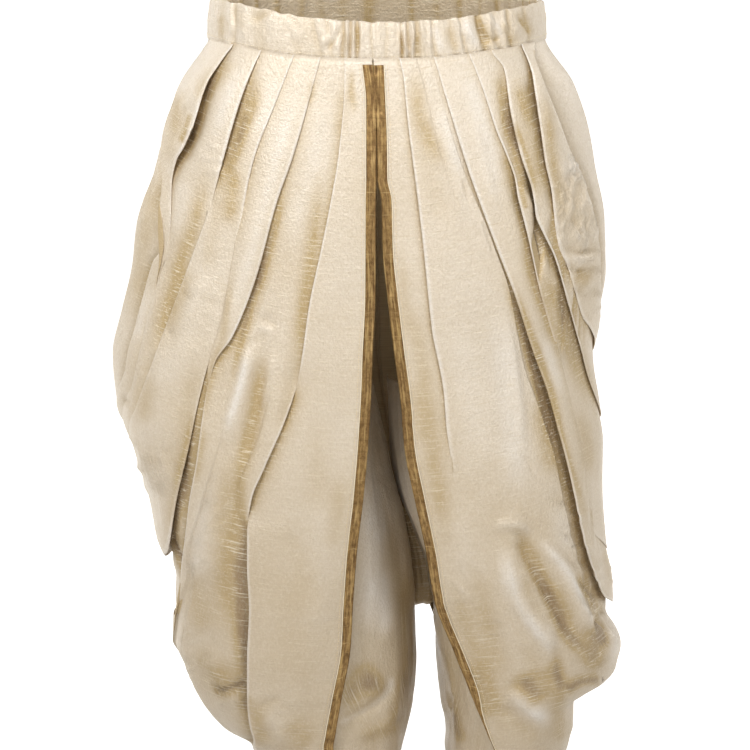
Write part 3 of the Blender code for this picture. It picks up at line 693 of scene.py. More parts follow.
# Soft creases of the front, in pixels of the view: points, half width left and
# right of travel, height in mm, fades.
RIGHT_CREASES = [
    ([(256, 319), (266, 321), (277, 327)], 3.0, 4.0, -1.8),
    ([(258, 326), (268, 331), (276, 336)], 4.5, 4.5, 1.2),
    ([(253, 340), (259, 338), (266, 341)], 2.5, 3.5, -1.4),
    ([(253, 338), (245, 372), (234, 408), (224, 445)], 6, 8, 4.6),
    ([(266, 346), (258, 390), (250, 430), (240, 476)], 9, 10, -5.2),
    ([(274, 350), (268, 384), (262, 412)], 5, 6, 3.2),
    ([(298, 352), (290, 400), (277, 440)], 8, 6, -3.6),
    ([(181, 293), (190, 295), (199, 295)], 3, 3, -1.8),
    ([(196, 296), (208, 300), (218, 301)], 3, 3, -1.6),
    ([(166, 330), (178, 333)], 3, 3, -1.6),
    ([(146, 374), (155, 354)], 3, 3, -1.5),
    ([(122, 399), (136, 401)], 3, 3, -1.9),
    ([(210, 262), (196, 300), (184, 345), (170, 400)], 9, 12, 2.4),
    ([(176, 330), (158, 395), (150, 450), (158, 505)], 10, 12, 3.2),
    ([(198, 350), (184, 420), (172, 490)], 9, 9, -3.0),
    ([(228, 440), (214, 500), (206, 560), (204, 620)], 9, 10, 3.4),
    ([(240, 470), (232, 530), (230, 590), (232, 650)], 7, 8, -3.6),
    ([(205, 640), (216, 672), (236, 700)], 9, 7, 3.0),
    ([(213, 692), (228, 688), (246, 683)], 2.5, 3.5, -4.5, 0.15, 0.1),
    ([(216, 686), (230, 681), (247, 676)], 4, 4, 2.5),
    ([(216, 706), (232, 701), (246, 697)], 4, 5, 2.6),
    ([(194, 566), (188, 600), (192, 636)], 7, 7, 2.0),
    ([(258, 704), (270, 700), (284, 697)], 4, 4, -2.6),
    ([(262, 712), (278, 722), (286, 745)], 6, 7, 2.6),
    ([(262, 613), (300, 616), (341, 618)], 2.5, 2.5, 0.8),
    ([(280, 520), (300, 560), (318, 610)], 10, 10, -1.8),
    ([(330, 470), (322, 540), (318, 600), (306, 670)], 14, 14, 1.8),
    ([(352, 66), (350, 90), (354, 122)], 2.6, 2.6, -2.4, 0.1, 0.5),
    ([(358, 64), (357, 84), (358, 104)], 2.2, 2.2, 1.5, 0.1, 0.5),
    ([(248, 62), (232, 96), (222, 120)], 3, 3, 1.2, 0.1, 0.5),
]
LEFT_CREASES = [
    ([(492, 530), (504, 523), (518, 524), (531, 534)], 5, 3, 4.5),
    ([(500, 516), (512, 515), (524, 522)], 5, 5, 1.5),
    ([(512, 532), (520, 534), (528, 542)], 4, 4, -3.6),
    ([(503, 540), (510, 580), (526, 612), (546, 640), (560, 668)], 6, 8, 8.0),
    ([(519, 535), (534, 566), (552, 600), (578, 640)], 6, 7, -9.5, 0.12, 0.25),
    ([(533, 536), (564, 570), (585, 618), (604, 646)], 5, 6, 6.0),
    ([(548, 640), (560, 664), (566, 688)], 6, 5, -5.0),
    ([(508, 688), (526, 704), (545, 722)], 6, 7, 6.0),
    ([(516, 678), (536, 692), (556, 704)], 7, 7, -4.0),
    ([(500, 706), (520, 724), (540, 742)], 7, 7, -2.6),
    ([(474, 560), (488, 620), (500, 660), (514, 684)], 10, 10, -2.4),
    ([(456, 500), (464, 560), (476, 620)], 12, 12, 1.8),
    ([(544, 496), (558, 501), (572, 502)], 3, 4, -1.2),
    ([(556, 531), (568, 535), (580, 534)], 3, 4, -1.2),
    ([(562, 560), (576, 563), (590, 561)], 3, 4, -1.2),
    ([(566, 512), (576, 517), (586, 515)], 3.5, 3.5, 1.8),
    ([(566, 545), (578, 549), (590, 547)], 3.5, 3.5, 1.8),
    ([(576, 580), (588, 590), (602, 600)], 3.5, 4, -1.6),
    ([(596, 606), (606, 622), (612, 644), (602, 662), (588, 672)], 5, 5, 4.0),
    ([(591, 630), (600, 618), (607, 606)], 3, 4, -4.5),
    ([(559, 244), (578, 252), (599, 249)], 3, 4, -3.4),
    ([(560, 263), (580, 271), (600, 268)], 3, 4, -3.4),
    ([(562, 254), (580, 261), (598, 258)], 3, 3, 2.4),
    ([(570, 288), (584, 294), (598, 290)], 3, 3, -2.2),
    ([(517, 181), (527, 198), (537, 216)], 3, 3, 2.6),
    ([(502, 432), (509, 442), (513, 452)], 2.2, 2.6, -1.5),
    ([(520, 454), (528, 462), (533, 474)], 2.2, 2.6, -1.5),
    ([(417, 96), (424, 150), (440, 206), (456, 236)], 10, 8, -2.2),
    ([(442, 96), (452, 150), (470, 210), (486, 252)], 9, 9, 1.6),
    ([(470, 110), (484, 170), (500, 226)], 5, 6, 2.0),
    ([(500, 300), (512, 350), (520, 410), (524, 470)], 6, 4, 2.4),
    ([(424, 74), (430, 92), (432, 110)], 2.8, 2.8, 1.6, 0.15, 0.5),
    ([(574, 150), (582, 164), (591, 178)], 1.8, 2.2, -3.0),
    ([(583, 138), (590, 158), (593, 186)], 2.2, 2.2, 2.6),
    ([(579, 174), (583, 166), (588, 158)], 1.8, 1.8, -2.8),
    ([(583, 188), (591, 212), (597, 240)], 2.8, 2.8, 2.6),
    ([(586, 196), (590, 216), (593, 236)], 2.0, 2.0, -2.0),
    ([(558, 96), (566, 108), (572, 114)], 3.0, 3.0, 2.6),
    ([(562, 84), (569, 98), (575, 108)], 2.2, 2.2, -2.4),
    ([(564, 216), (578, 222), (594, 219)], 2.4, 2.4, -1.8),
    ([(566, 232), (580, 237), (597, 233)], 2.2, 2.2, 1.8),
    ([(478, 214), (484, 236), (493, 262)], 2.0, 2.0, 1.6),
    ([(462, 176), (466, 192), (469, 206)], 1.8, 1.8, -1.6),
    ([(458, 186), (461, 204), (464, 216)], 2.0, 2.0, 1.2),
    ([(472, 622), (488, 627), (508, 625)], 2.0, 2.2, -1.6),
    ([(484, 634), (500, 629), (514, 626)], 2.0, 2.0, 1.4),
    ([(450, 572), (462, 590), (474, 600)], 3.0, 3.0, 1.2),
    ([(464, 556), (474, 572), (486, 584)], 3.0, 3.0, -1.4),
    ([(520, 640), (538, 668), (556, 690)], 8, 6, -2.2),
]
# a fan of fine wrinkles between the long ridge and the hollow beside it
LEFT_CREASES += [([(514 + 4.4 * k, 590 + 8.2 * k), (520 + 4.4 * k, 581 + 8.0 * k), (528 + 4.4 * k, 566 + 8.2 * k)],
                  1.7, 1.7, 1.1 + 0.5 * (k % 3)) for k in range(8)]
# diagonal wrinkles high in the pouch at the left hip
LEFT_CREASES += [([(562 + 3.0 * k, 122 + 4.6 * k), (568 + 3.0 * k, 116 + 4.0 * k), (575 + 2.6 * k, 106 + 4.0 * k)],
                  1.6, 1.6, 1.7 * (-1) ** k) for k in range(7)]
RIGHT_WRINKLES = [
    # x, y, half width, half height, lean, length, pitch, height
    (190, 90, 18, 45, -65, 22, 9, 3.6),
    (150, 200, 14, 60, -80, 20, 9, 2.0),
    (215, 165, 16, 26, 20, 14, 7, 1.5),
    (150, 465, 34, 32, 20, 26, 10, 3.2),
    (215, 545, 26, 60, -20, 20, 8, 1.7),
    (205, 650, 28, 36, -18, 22, 9, 1.8),
    (265, 335, 16, 14, 25, 14, 7, 1.2),
    (275, 720, 22, 22, -15, 18, 9, 1.6),
]
LEFT_WRINKLES = [
    (577, 205, 22, 62, 70, 16, 8, 5.0),
    (548, 90, 14, 40, 68, 16, 8, 2.2),
    (430, 90, 14, 36, 75, 16, 9, 1.4),
    (466, 596, 26, 20, 12, 20, 8, 1.7),
    (508, 442, 14, 18, 40, 12, 7, 1.3),
    (540, 610, 30, 40, -50, 22, 9, 2.4),
    (585, 580, 24, 36, 20, 18, 9, 2.6),
    (520, 700, 36, 26, -15, 22, 9, 1.6),
    (590, 290, 16, 26, 15, 18, 8, 2.0),
    (560, 320, 20, 50, 60, 20, 9, 1.4),
]
# Creases of the back, in mm from the middle (towards each side) and mm of level.
BACK_CREASES = [
    ([(60, -330), (120, -395), (200, -420), (262, -385)], 14, 18, 6.0),
    ([(40, -400), (110, -478), (190, -505), (250, -470)], 14, 18, -6.0),
    ([(40, -440), (100, -530), (170, -565), (235, -545)], 14, 18, 6.0),
    ([(55, -520), (110, -610), (170, -645), (220, -630)], 13, 17, -5.5),
    ([(55, -580), (100, -670), (160, -705), (205, -700)], 13, 16, 5.0),
    ([(60, -700), (100, -760), (150, -780)], 12, 12, -4.0),
    ([(90, -200), (130, -260), (190, -300)], 14, 14, 4.0),
    ([(50, -240), (80, -320), (140, -370)], 12, 12, -4.0),
]


# Painted shade, golden (+), and painted highlight, pale (-), on the silk as light
# falls on it: points in the view, half width left and right, how much, fades.
RIGHT_PAINTED_LIGHT = [
    ([(232, 52), (224, 70), (208, 90), (201, 108)], 8, 8, 0.5),
    ([(180, 92), (177, 120), (171, 148), (169, 170)], 8, 8, 0.36),
    ([(193, 114), (189, 129), (184, 144)], 3, 3, 0.75, 0.1, 0.1),
    ([(257, 70), (256, 95), (248, 120), (241, 140), (234, 160), (226, 184)], 6, 7, 0.62),
    ([(246, 108), (241, 134), (233, 152)], 3, 4, 0.25),
    ([(238, 160), (236, 195), (231, 232)], 8, 6, 0.40),
    ([(226, 186), (218, 214), (210, 250), (206, 280)], 6, 8, 0.20),
    ([(206, 156), (205, 186), (198, 214), (189, 242), (181, 264), (176, 286), (168, 312), (158, 338), (144, 362)], 9, 6, 0.50),
    ([(288, 172), (281, 204), (273, 232), (264, 262), (255, 290), (247, 318), (240, 346), (233, 376), (229, 404)], 3, 5, 0.66),
    ([(236, 258), (230, 300), (225, 336), (214, 370), (207, 400), (200, 440)], 5, 4, 0.34),
    ([(322, 160), (318, 205), (314, 236), (309, 270), (303, 310), (298, 345), (294, 374)], 9, 4, 0.46),
    ([(312, 78), (311, 94), (306, 108)], 3, 4, 0.34),
    ([(262, 345), (258, 385), (252, 420), (244, 455), (240, 490), (237, 540)], 7, 9, 0.44),
    ([(229, 440), (226, 480), (222, 520), (225, 560), (222, 600), (212, 640)], 11, 12, 0.34),
    ([(247, 476), (244, 520), (243, 570), (243, 620), (244, 670), (243, 704)], 9, 3, 0.60),
    ([(160, 372), (150, 400), (146, 430)], 8, 11, 0.36),
    ([(197, 400), (191, 440), (184, 475), (180, 510), (174, 540)], 7, 4, 0.62),
    ([(206, 420), (202, 455), (196, 490)], 2, 4, 0.36),
    ([(140, 415), (150, 450), (162, 480)], 12, 12, 0.14),
    ([(198, 640), (212, 672), (236, 704)], 15, 12, 0.40),
    ([(216, 692), (230, 687), (246, 684)], 2, 3, 1.0, 0.1, 0.1),
    ([(236, 708), (244, 704), (249, 690)], 8, 5, 0.45),
    ([(353, 64), (352, 84), (354, 106), (358, 116)], 4, 4, 0.40),
    ([(256, 696), (260, 722), (268, 748)], 8, 9, 0.38),
    ([(320, 410), (318, 460), (314, 520)], 15, 15, 0.14),
    ([(300, 560), (296, 640), (292, 700)], 26, 26, 0.08),
    ([(244, 60), (232, 92), (221, 124), (214, 146)], 7, 7, -0.25),
    ([(276, 72), (268, 108), (256, 142)], 7, 7, -0.22),
    ([(300, 80), (290, 116), (278, 156), (264, 210), (248, 270), (232, 322)], 7, 6, -0.28),
    ([(330, 90), (318, 150), (300, 210), (288, 270)], 9, 8, -0.15),
    ([(250, 345), (243, 378), (236, 405), (226, 436)], 4, 4, -0.45),
    ([(182, 172), (180, 205), (172, 240)], 7, 9, -0.20),
    ([(160, 280), (148, 310), (138, 350)], 5, 5, -0.20),
    ([(206, 490), (198, 540), (192, 590)], 7, 7, -0.20),
]
# painted shade on the part of the right back panel that bulges out beside the front one
SIDE_PAINTED_SHADE = [
    ([(160, 140), (151, 190), (145, 240), (136, 290), (126, 340)], 11, 11, 0.40),
]
RIGHT_PAINTED_LIGHT += [
    ([(185, 84), (178, 112), (176, 140)], 8, 8, 0.35),
    ([(158, 150), (151, 200), (146, 240)], 9, 9, 0.40),
    ([(190, 262), (180, 300), (168, 336)], 8, 8, 0.30),
    ([(236, 170), (230, 200), (226, 230)], 6, 6, 0.20),
    ([(345, 80), (341, 110), (334, 145)], 8, 8, 0.22),
    ([(204, 560), (200, 600), (206, 640)], 12, 12, 0.34),
    ([(241, 540), (241, 600), (241, 660)], 6, 4, 0.50),
    ([(214, 656), (229, 680), (243, 696)], 12, 10, 0.35),
    ([(284, 716), (300, 735), (314, 748)], 15, 14, 0.28),
    ([(342, 470), (338, 510), (331, 556)], 10, 8, 0.22),
    ([(262, 282), (255, 300), (250, 322)], 4, 4, -0.25),
]
LEFT_PAINTED_LIGHT = [
    ([(516, 80), (522, 105), (530, 130)], 7, 7, 0.40),
    ([(400, 240), (405, 300), (411, 352)], 7, 6, 0.20),
    ([(412, 370), (418, 410), (424, 452)], 7, 7, 0.22),
    ([(534, 370), (545, 402), (552, 430)], 6, 6, 0.25),
    ([(512, 580), (520, 600), (530, 622)], 5, 5, 0.30),
    ([(552, 580), (560, 600), (572, 624)], 8, 8, 0.32),
    ([(588, 620), (595, 650), (584, 674)], 10, 10, 0.80),
    ([(472, 656), (480, 690), (492, 722)], 13, 13, 0.60),
    ([(522, 668), (530, 688), (542, 706)], 14, 12, 0.85),
    ([(556, 700), (560, 726), (556, 746)], 8, 8, 0.50),
    ([(498, 300), (505, 360), (511, 430), (520, 510)], 14, 12, -0.30),
    ([(413, 64), (416, 90), (419, 112), (426, 132), (436, 150), (446, 165), (454, 174)], 9, 9, 0.50),
    ([(411, 285), (418, 340), (425, 385), (431, 430), (436, 475), (444, 525), (452, 565)], 10, 10, 0.38),
    ([(494, 62), (500, 92), (505, 118), (513, 140), (520, 156)], 6, 6, 0.55),
    ([(508, 108), (516, 134), (523, 153), (530, 180), (535, 204)], 3, 3, 0.55),
    ([(515, 58), (522, 100), (532, 142), (538, 180), (543, 216)], 11, 11, 0.38),
    ([(541, 88), (545, 130), (551, 166), (557, 200), (560, 235)], 4, 6, 0.46),
    ([(541, 42), (546, 54), (551, 66), (553, 86)], 2.4, 2.4, 0.65, 0.1, 0.1),
    ([(533, 50), (538, 64), (541, 72)], 2.2, 2.2, 0.6, 0.1, 0.1),
    ([(547, 66), (551, 84)], 4, 4, 0.6, 0.2, 0.2),
    ([(502, 150), (508, 175), (512, 196)], 7, 6, 0.36),
    ([(518, 180), (521, 196), (524, 210)], 2.4, 3, 0.6, 0.1, 0.1),
    ([(534, 255), (546, 284), (558, 312), (568, 346), (580, 382), (588, 412)], 8, 9, 0.62),
    ([(524, 232), (529, 266), (541, 300), (553, 332), (563, 358)], 8, 4, 0.42),
    ([(500, 260), (509, 290), (519, 320), (529, 350), (538, 385), (546, 412), (553, 440), (559, 472)], 5, 7, 0.85),
    ([(524, 330), (535, 372), (544, 405), (552, 436), (560, 474), (568, 506)], 4, 5, 0.35),
    ([(534, 395), (544, 436), (553, 482)], 9, 10, 0.42),
    ([(512, 284), (525, 320), (538, 355), (550, 392), (558, 430), (568, 468), (578, 506), (588, 546)], 5, 3, 0.40),
    ([(574, 405), (584, 440), (590, 480)], 7, 7, 0.30),
    ([(570, 170), (574, 205), (582, 240)], 12, 14, 0.20),
    ([(572, 272), (590, 282)], 12, 10, 0.40),
    ([(516, 533), (530, 560), (546, 594), (560, 625), (582, 652)], 6, 10, 0.50),
    ([(556, 610), (566, 638), (586, 656)], 6, 9, 0.35),
    ([(520, 566), (530, 600), (546, 632)], 5, 6, 0.26),
    ([(546, 660), (559, 690), (563, 716)], 9, 6, 0.45),
    ([(470, 560), (480, 600), (490, 640), (500, 690)], 14, 14, 0.20),
    ([(450, 560), (462, 610), (478, 660), (500, 715), (516, 745)], 10, 10, 0.26),
    ([(585, 588), (592, 604), (597, 620)], 8, 8, 0.55),
    ([(592, 618), (599, 632), (604, 646)], 4, 4, 1.3, 0.1, 0.1),
    ([(556, 608), (569, 632), (584, 648), (598, 652)], 6, 6, 0.55),
    ([(536, 536), (562, 568), (584, 608), (596, 634)], 4, 4, -0.45),
    ([(600, 608), (609, 626), (611, 644), (600, 664)], 4, 4, -0.30),
    ([(553, 655), (560, 678), (566, 696)], 6, 5, 0.62),
    ([(536, 560), (548, 590), (562, 616)], 4, 5, 0.30),
    ([(566, 692), (581, 682), (600, 680)], 4, 6, 1.2, 0.1, 0.1),
    ([(572, 574), (585, 590), (599, 603)], 4, 5, 0.85),
    ([(600, 540), (603, 570), (605, 592)], 3, 3, 0.3),
    ([(502, 540), (506, 566), (514, 592), (527, 616), (545, 643), (556, 664)], 5, 5, -0.5),
    ([(512, 690), (525, 703), (541, 717), (553, 727)], 8, 8, -0.55),
    ([(556, 500), (562, 530), (568, 556)], 9, 9, -0.25),
    ([(440, 100), (450, 140), (464, 180)], 8, 10, -0.25),
    ([(462, 64), (478, 110), (492, 160), (500, 210)], 8, 8, -0.25),
    ([(450, 300), (462, 360), (476, 420), (490, 480)], 16, 16, -0.14),
    ([(540, 330), (552, 372), (560, 400)], 6, 6, -0.25),
    ([(568, 150), (572, 180)], 6, 6, -0.25),
    ([(555, 92), (564, 112)], 6, 6, -0.3),
]


def silk_tone_and_painted_light(px, py, table, facing, seed):
    """Painted shade (golden) and painted highlight (pale) from strokes, uneven at random, and painted shade growing
    lower down.
    """
    uneven = 1.0 + 0.18 * patch(px / 9 + 40, py / 15 + 3, seed + 21)
    return (creases(px, py, table) * 1.05 * uneven * facing + 0.10 * ease((py - 40) / 200) + 0.20 * ease((py - 330) / 380)
            + 0.04 * patch(px / 34, py / 90, seed + 22))


def cloth_waves(px, py, seed):
    """Low uneven undulation of silk, in mm, on a field of pixels or mm."""
    return (0.9 * patch(px / 46 + 3, py / 75, seed) + 0.45 * patch(px / 21, py / 38 + 9, seed + 1)
            + 0.55 * crumple(px / 30 + 5, py / 44, seed + 2) * np.clip(patch(px / 80, py / 80, seed + 3) + 0.3, 0, 1))


def wrinkled(px, py, table):
    """Sharp small wrinkles in listed patches: middle, half sizes, lean of the
    wrinkles in degrees, their length and pitch in pixels, and height in mm."""
    total = np.zeros(px.shape)
    for k, (cx, cy, rx, ry, lean, size, pitch, high) in enumerate(table):
        dx, dy = px - cx, py - cy
        c, s_ = np.cos(radians(lean)), np.sin(radians(lean))
        u, v = (dx * c + dy * s_), (-dx * s_ + dy * c)
        window = np.exp(-((dx / rx) ** 2 + (dy / ry) ** 2) ** 1.5)
        total += high * window * (crumple(u / size + 31, v / pitch + 17, 900 + k) - 0.35)
    return total


def drape_points(place, side, a, z, h, tone_and_painted_light, table, seed, behind):
    """Moves the laid columns onto the body with creases and waves."""
    p, n, _, _ = surface(place, side, a, z)
    if behind:
        u, v = np.abs(p[..., 0]) / MM, p[..., 2] / MM
        facing = ease((n[..., 1] - 0.02) / 0.3)
        u2, v2 = p[..., 0] / MM + 40 * side, -p[..., 2] / MM
    else:
        u, v = picture(p)
        facing = ease((-n[..., 1] + 0.10) / 0.2)
        u2, v2 = u, v
    extra = creases(u, v, table) * facing
    if not behind:
        extra += wrinkled(u, v, RIGHT_WRINKLES if side < 0 else LEFT_WRINKLES) * facing
    waves = cloth_waves(u2 + p[..., 1] / MM * 0.8, v2, seed)
    top = ease((seam_level(a) - z) / 0.10)
    calm = top * ease((z - CUFF_TOP) / 0.05)
    off = h + (extra + waves * 1.0) * MM * calm
    # painted shade in the hollows of the creases and painted highlight on their ridges
    tone_and_painted_light = tone_and_painted_light + np.clip(-extra * 0.05, -0.2, 0.35)
    sx, sy = picture(p)
    # strokes of painted shade and highlight, laid where the cloth faces the front
    strokes = (SIDE_PAINTED_SHADE if behind else RIGHT_PAINTED_LIGHT) if side < 0 else ([] if behind else LEFT_PAINTED_LIGHT)
    seen = ease((-n[..., 1] + 0.14) / 0.16)
    tone_and_painted_light = tone_and_painted_light + silk_tone_and_painted_light(sx, sy, strokes, seen, seed)
    return p, n, off, tone_and_painted_light


def flatten_front(side, p, a, z):
    """The panel beside the left free edge hangs across the front of the leg
    instead of following the leg round."""
    if side < 0:
        return np.zeros(a.shape)
    share = ease((-4.0 - a) / 16.0) * ease((-0.52 - z) / 0.07) * ease((z + 0.86) / 0.07)
    front = section(side, z)[3]
    return -(p[..., 1] - front) * 0.62 * share


def front_shape(side, lines, counts, crease_table, seed):
    rows = ROWS_FRONT
    a, z, h, tone_and_painted_light, rims = lay_drape(on_body, side, lines, counts, 1.0, rows)
    w = np.linspace(0, 1, rows)[:, None]
    # free edge stands a little proud, the side edge lies on the back panel
    p, n, off, tone_and_painted_light = drape_points(on_body, side, a, z, h, tone_and_painted_light, crease_table, seed, False)
    off += 0.8 * MM
    edge = lines[-1]["pts"]
    across = np.abs(a - edge[:, :1]) * 0.0042
    off += np.exp(-(across / 0.03) ** 2) * 2.2 * MM * (0.25 + 0.75 * ease(w / 0.15))
    # the end of the drape lies over the seam at the back of the leg
    off += ease((w - 0.86) / 0.14) * ease((a - 84) / 20) * 2.0 * MM * (1 - w) / 0.14
    # the head of the drape runs up under the waistband
    flat = n.copy()
    flat[0, :, 2] = 0
    flat[0] /= np.linalg.norm(flat[0], axis=-1, keepdims=True)
    off[0] -= 1.2 * MM
    q = p + flat * off[..., None]
    q[..., 1] += flatten_front(side, p, a, z)
    q[0, :, 2] += 3.0 * MM
    # gathers above the ankle
    low = ease((-z - 0.86) / 0.06)
    q += n * (low * 2.2 * MM * np.sin(np.radians(a) * 17 + 2 * wander((a + 180) / 360, 14, seed + 9)))[..., None]
    return q, n, np.clip(tone_and_painted_light, -0.5, 1.5), rims


def soft_sides(line, reach=24):
    """Rounds the corners of a line where it runs round the side of the leg."""
    kernel = np.hanning(2 * reach + 3)[1:-1]
    kernel /= kernel.sum()
    k = np.arange(len(line))
    share = ease((line[:, 0] - 60.0) / 12.0) * ease(k / reach) * ease((len(line) - 1 - k) / reach)
    pad = np.pad(line, ((reach, reach), (0, 0)), mode="edge")
    soft = np.stack([np.convolve(pad[:, c], kernel, mode="valid") for c in (0, 1)], axis=1)
    return line + (soft - line) * share[:, None]


def front_drape(side, name, table, counts, crease_table, seed, mats):
    rows = ROWS_FRONT
    raw = [front_line(side, r, rows) for r in table]
    # the folded edges are moved until they fall on their lines in the view
    for step in range(4):
        raw = [soft_sides(p) if r["kind"] != "run" else p for r, p in zip(table, raw)]
        lines = [finish_line(side, r, rows, dict(pts=p)) for r, p in zip(table, raw)]
        q, n, tone_and_painted_light, rims = front_shape(side, lines, counts, crease_table, seed)
        if step == 3:
            break
        for i, row in enumerate(table):
            if "px" not in row:
                continue
            first, last = rims[i]
            if row["kind"] == "fold":
                f = lines[i]["f"]
                share = np.clip(0.5 + 2.0 * f, 0, 1)[:, None]
                rim = q[:, first] * (1 - share) + q[:, last] * share
            else:
                rim = q[:, first]
            u, v = picture(rim)
            xs, ys = [t[0] for t in row["px"]], [t[1] for t in row["px"]]
            gap = (monotone(ys, xs, v) - u) * PIXEL * ease((ys[-1] + 6 - v) / 20.0)
            a, z = raw[i].T
            x = on_body(side, a, z)[:, 0]
            gap = np.where(np.abs(a) < 84, gap, 0.0)
            gap = np.clip(gap, -0.016, 0.016)
            pad = np.pad(gap, 4, mode="edge")
            gap = np.convolve(pad, np.hanning(11)[1:-1] / np.hanning(11)[1:-1].sum(), mode="valid")
            moved = angle_at(side, x + gap, z)
            ok = (np.abs(a) < 84) & (np.abs(gap) > 1e-6)
            raw[i] = np.stack((np.where(ok, a + np.clip(moved - a, -6, 6) * 0.9, a), z), axis=1)
    obj = sheet_object(name, q, n, mats, tone_and_painted_light)
    return obj, q, n


def resample(p, rows):
    """Rows of points spread evenly on a smooth course through a grid's rows."""
    step = np.linalg.norm(np.diff(p[:, 0], axis=0), axis=1)
    far = np.concatenate(([0], np.cumsum(step)))
    want = np.linspace(0, far[-1], rows)
    out = np.empty((rows,) + p.shape[1:])
    for c in range(p.shape[1]):
        for k in range(3):
            out[:, c, k] = monotone(far, p[:, c, k], want)
    return out


def along_edge(q, distances, rows):
    """Points at distances from a drape's first column, measured on the cloth."""
    step = np.linalg.norm(np.diff(q[:, :24], axis=1), axis=-1)
    far = np.concatenate((np.zeros((len(q), 1)), np.cumsum(step, axis=1)), axis=1)
    down, over = np.gradient(q[:, 0], axis=0), q[:, 5] - q[:, 0]
    turn = np.linalg.norm(np.cross(down, over), axis=1)
    turn = turn / np.linalg.norm(down, axis=1) / np.linalg.norm(over, axis=1)
    pad = np.pad(np.clip(turn, 0.45, 1.0), 6, mode="edge")
    turn = np.convolve(pad, np.ones(13) / 13, mode="valid")
    far = far * turn[:, None]
    out = np.empty((len(q), len(distances), 3))
    for r in range(len(q)):
        for k in range(3):
            out[r, :, k] = np.interp(distances, far[r], q[r, :24, k])
    return resample(out, rows)


def gold_tape(side, name, q, mat, seed):
    """Woven gold tape over the free edge, crinkled, turned over the edge."""
    rows, cols = 620, 11
    d = np.concatenate(([0, 0], np.linspace(0.0, TAPE_WIDTH, cols - 3), [TAPE_WIDTH + 0.05 * MM]))
    p = along_edge(q[1:], d, rows)
    n = grid_normals(along_edge(q[1:], np.linspace(0, TAPE_WIDTH, cols), rows))
    if (n[..., 1]).sum() > 0:
        n = -n
    out = p[:, -1] - p[:, 3]
    out /= np.linalg.norm(out, axis=-1, keepdims=True)
    t = np.linspace(0, 1, rows)[:, None]
    c = np.linspace(0, 1, cols)[None, :]
    crinkle = (0.35 * patch(t * 150, c * 2.2, seed) + 0.35 * crumple(t * 75, c * 2.5 + 3, seed + 1)
               + 0.25 * patch(t * 45, c * 1.2, seed + 2)) * MM
    lift = 0.75 * MM + crinkle * np.sin(pi * np.clip(c, 0.06, 0.94))
    lift[:, -1] = 0.1 * MM
    lift[:, 0], lift[:, 1] = -0.9 * MM, -0.1 * MM
    p = p + n * lift[..., None]
    p[:, 1] -= out * 0.45 * MM
    p[:, 2] -= out * 0.25 * MM
    p[:, 0] += out * 2.0 * MM
    obj = sheet_object(name, p, n, mat, np.zeros((rows, cols)), 0.25 * MM, plumb=False)
    # pale piping at the outer boundary
    line = p[:, -2] + n[:, -2] * 0.15 * MM + out * 0.5 * MM
    return obj, line, n[:, -2], out


def tube(name, line, n, radius, mat, sides=6, squash=0.7):
    """Cord along a line of points."""
    t = np.gradient(line, axis=0)
    t /= np.linalg.norm(t, axis=1, keepdims=True)
    b = np.cross(t, n)
    b /= np.linalg.norm(b, axis=1, keepdims=True)
    a = np.arange(sides) / sides * 2 * pi
    ring = (line[:, None] + b[:, None] * (np.cos(a) * radius)[None, :, None]
            + n[:, None] * (np.sin(a) * radius * squash)[None, :, None])
    faces = grid_faces(len(line), sides, wrap=True)
    u = np.tile(a * radius, len(line))
    v = np.repeat(np.cumsum(np.linalg.norm(np.gradient(line, axis=0), axis=1)), sides)
    return mesh_object(name, ring.reshape(-1, 3), faces, mat, np.stack((u, v), 1))


def stitch_row(name, line, n, pitch, length, radius, mat, seed):
    """A row of small stitches lying along a line of points, joined in one mesh."""
    step = np.linalg.norm(np.diff(line, axis=0), axis=1)
    far = np.concatenate(([0], np.cumsum(step)))
    count = int(far[-1] / pitch)
    rng = np.random.default_rng(seed)
    verts, faces = [], []
    for i in range(count):
        mid = (i + 0.5) * pitch + rng.uniform(-0.06, 0.06) * pitch
        ts = mid + np.linspace(-0.5, 0.5, 6) * length
        pts = np.stack([np.interp(ts, far, line[:, k]) for k in range(3)], 1)
        nn = np.stack([np.interp(ts, far, n[:, k]) for k in range(3)], 1)
        t = pts[-1] - pts[0]
        t /= np.linalg.norm(t) + 1e-12
        b = np.cross(t, nn[2])
        b /= np.linalg.norm(b) + 1e-12
        arch = np.array((-0.9, 0.35, 0.8, 0.8, 0.35, -0.9)) * radius
        size = np.array((0.35, 0.85, 1, 1, 0.85, 0.35)) * radius
        base = len(verts)
        for j in range(6):
            for k in range(5):
                ang = 2 * pi * k / 5
                verts.append(pts[j] + nn[j] * (arch[j] + np.sin(ang) * size[j] * 0.8) + b * np.cos(ang) * size[j])
        for j in range(5):
            for k in range(5):
                k2 = (k + 1) % 5
                faces.append((base + j * 5 + k, base + (j + 1) * 5 + k, base + (j + 1) * 5 + k2, base + j * 5 + k2))
    return mesh_object(name, verts, faces, mat)


# ---------------------------------------------------------------- back panels
def back_edge_angle(side, z):
    z = np.asarray(z, float)
    middle = smooth(MIDDLE, 1, z / MM) * MM + side * 0.5 * SEAM_GAP
    cx, out, inn, _, _ = section(side, z)
    part = np.minimum(np.abs(middle - cx) / np.abs(inn - cx), 1.0)
    inward = (middle - cx) * side < 0
    a = np.degrees(np.arcsin(part ** (ROUND / 2.0)))
    limit = 64.0 - 22.0 * np.clip((-0.65 - z) / 0.27, 0, 1)
    return 180.0 + np.where(inward, np.minimum(a, limit), -a)


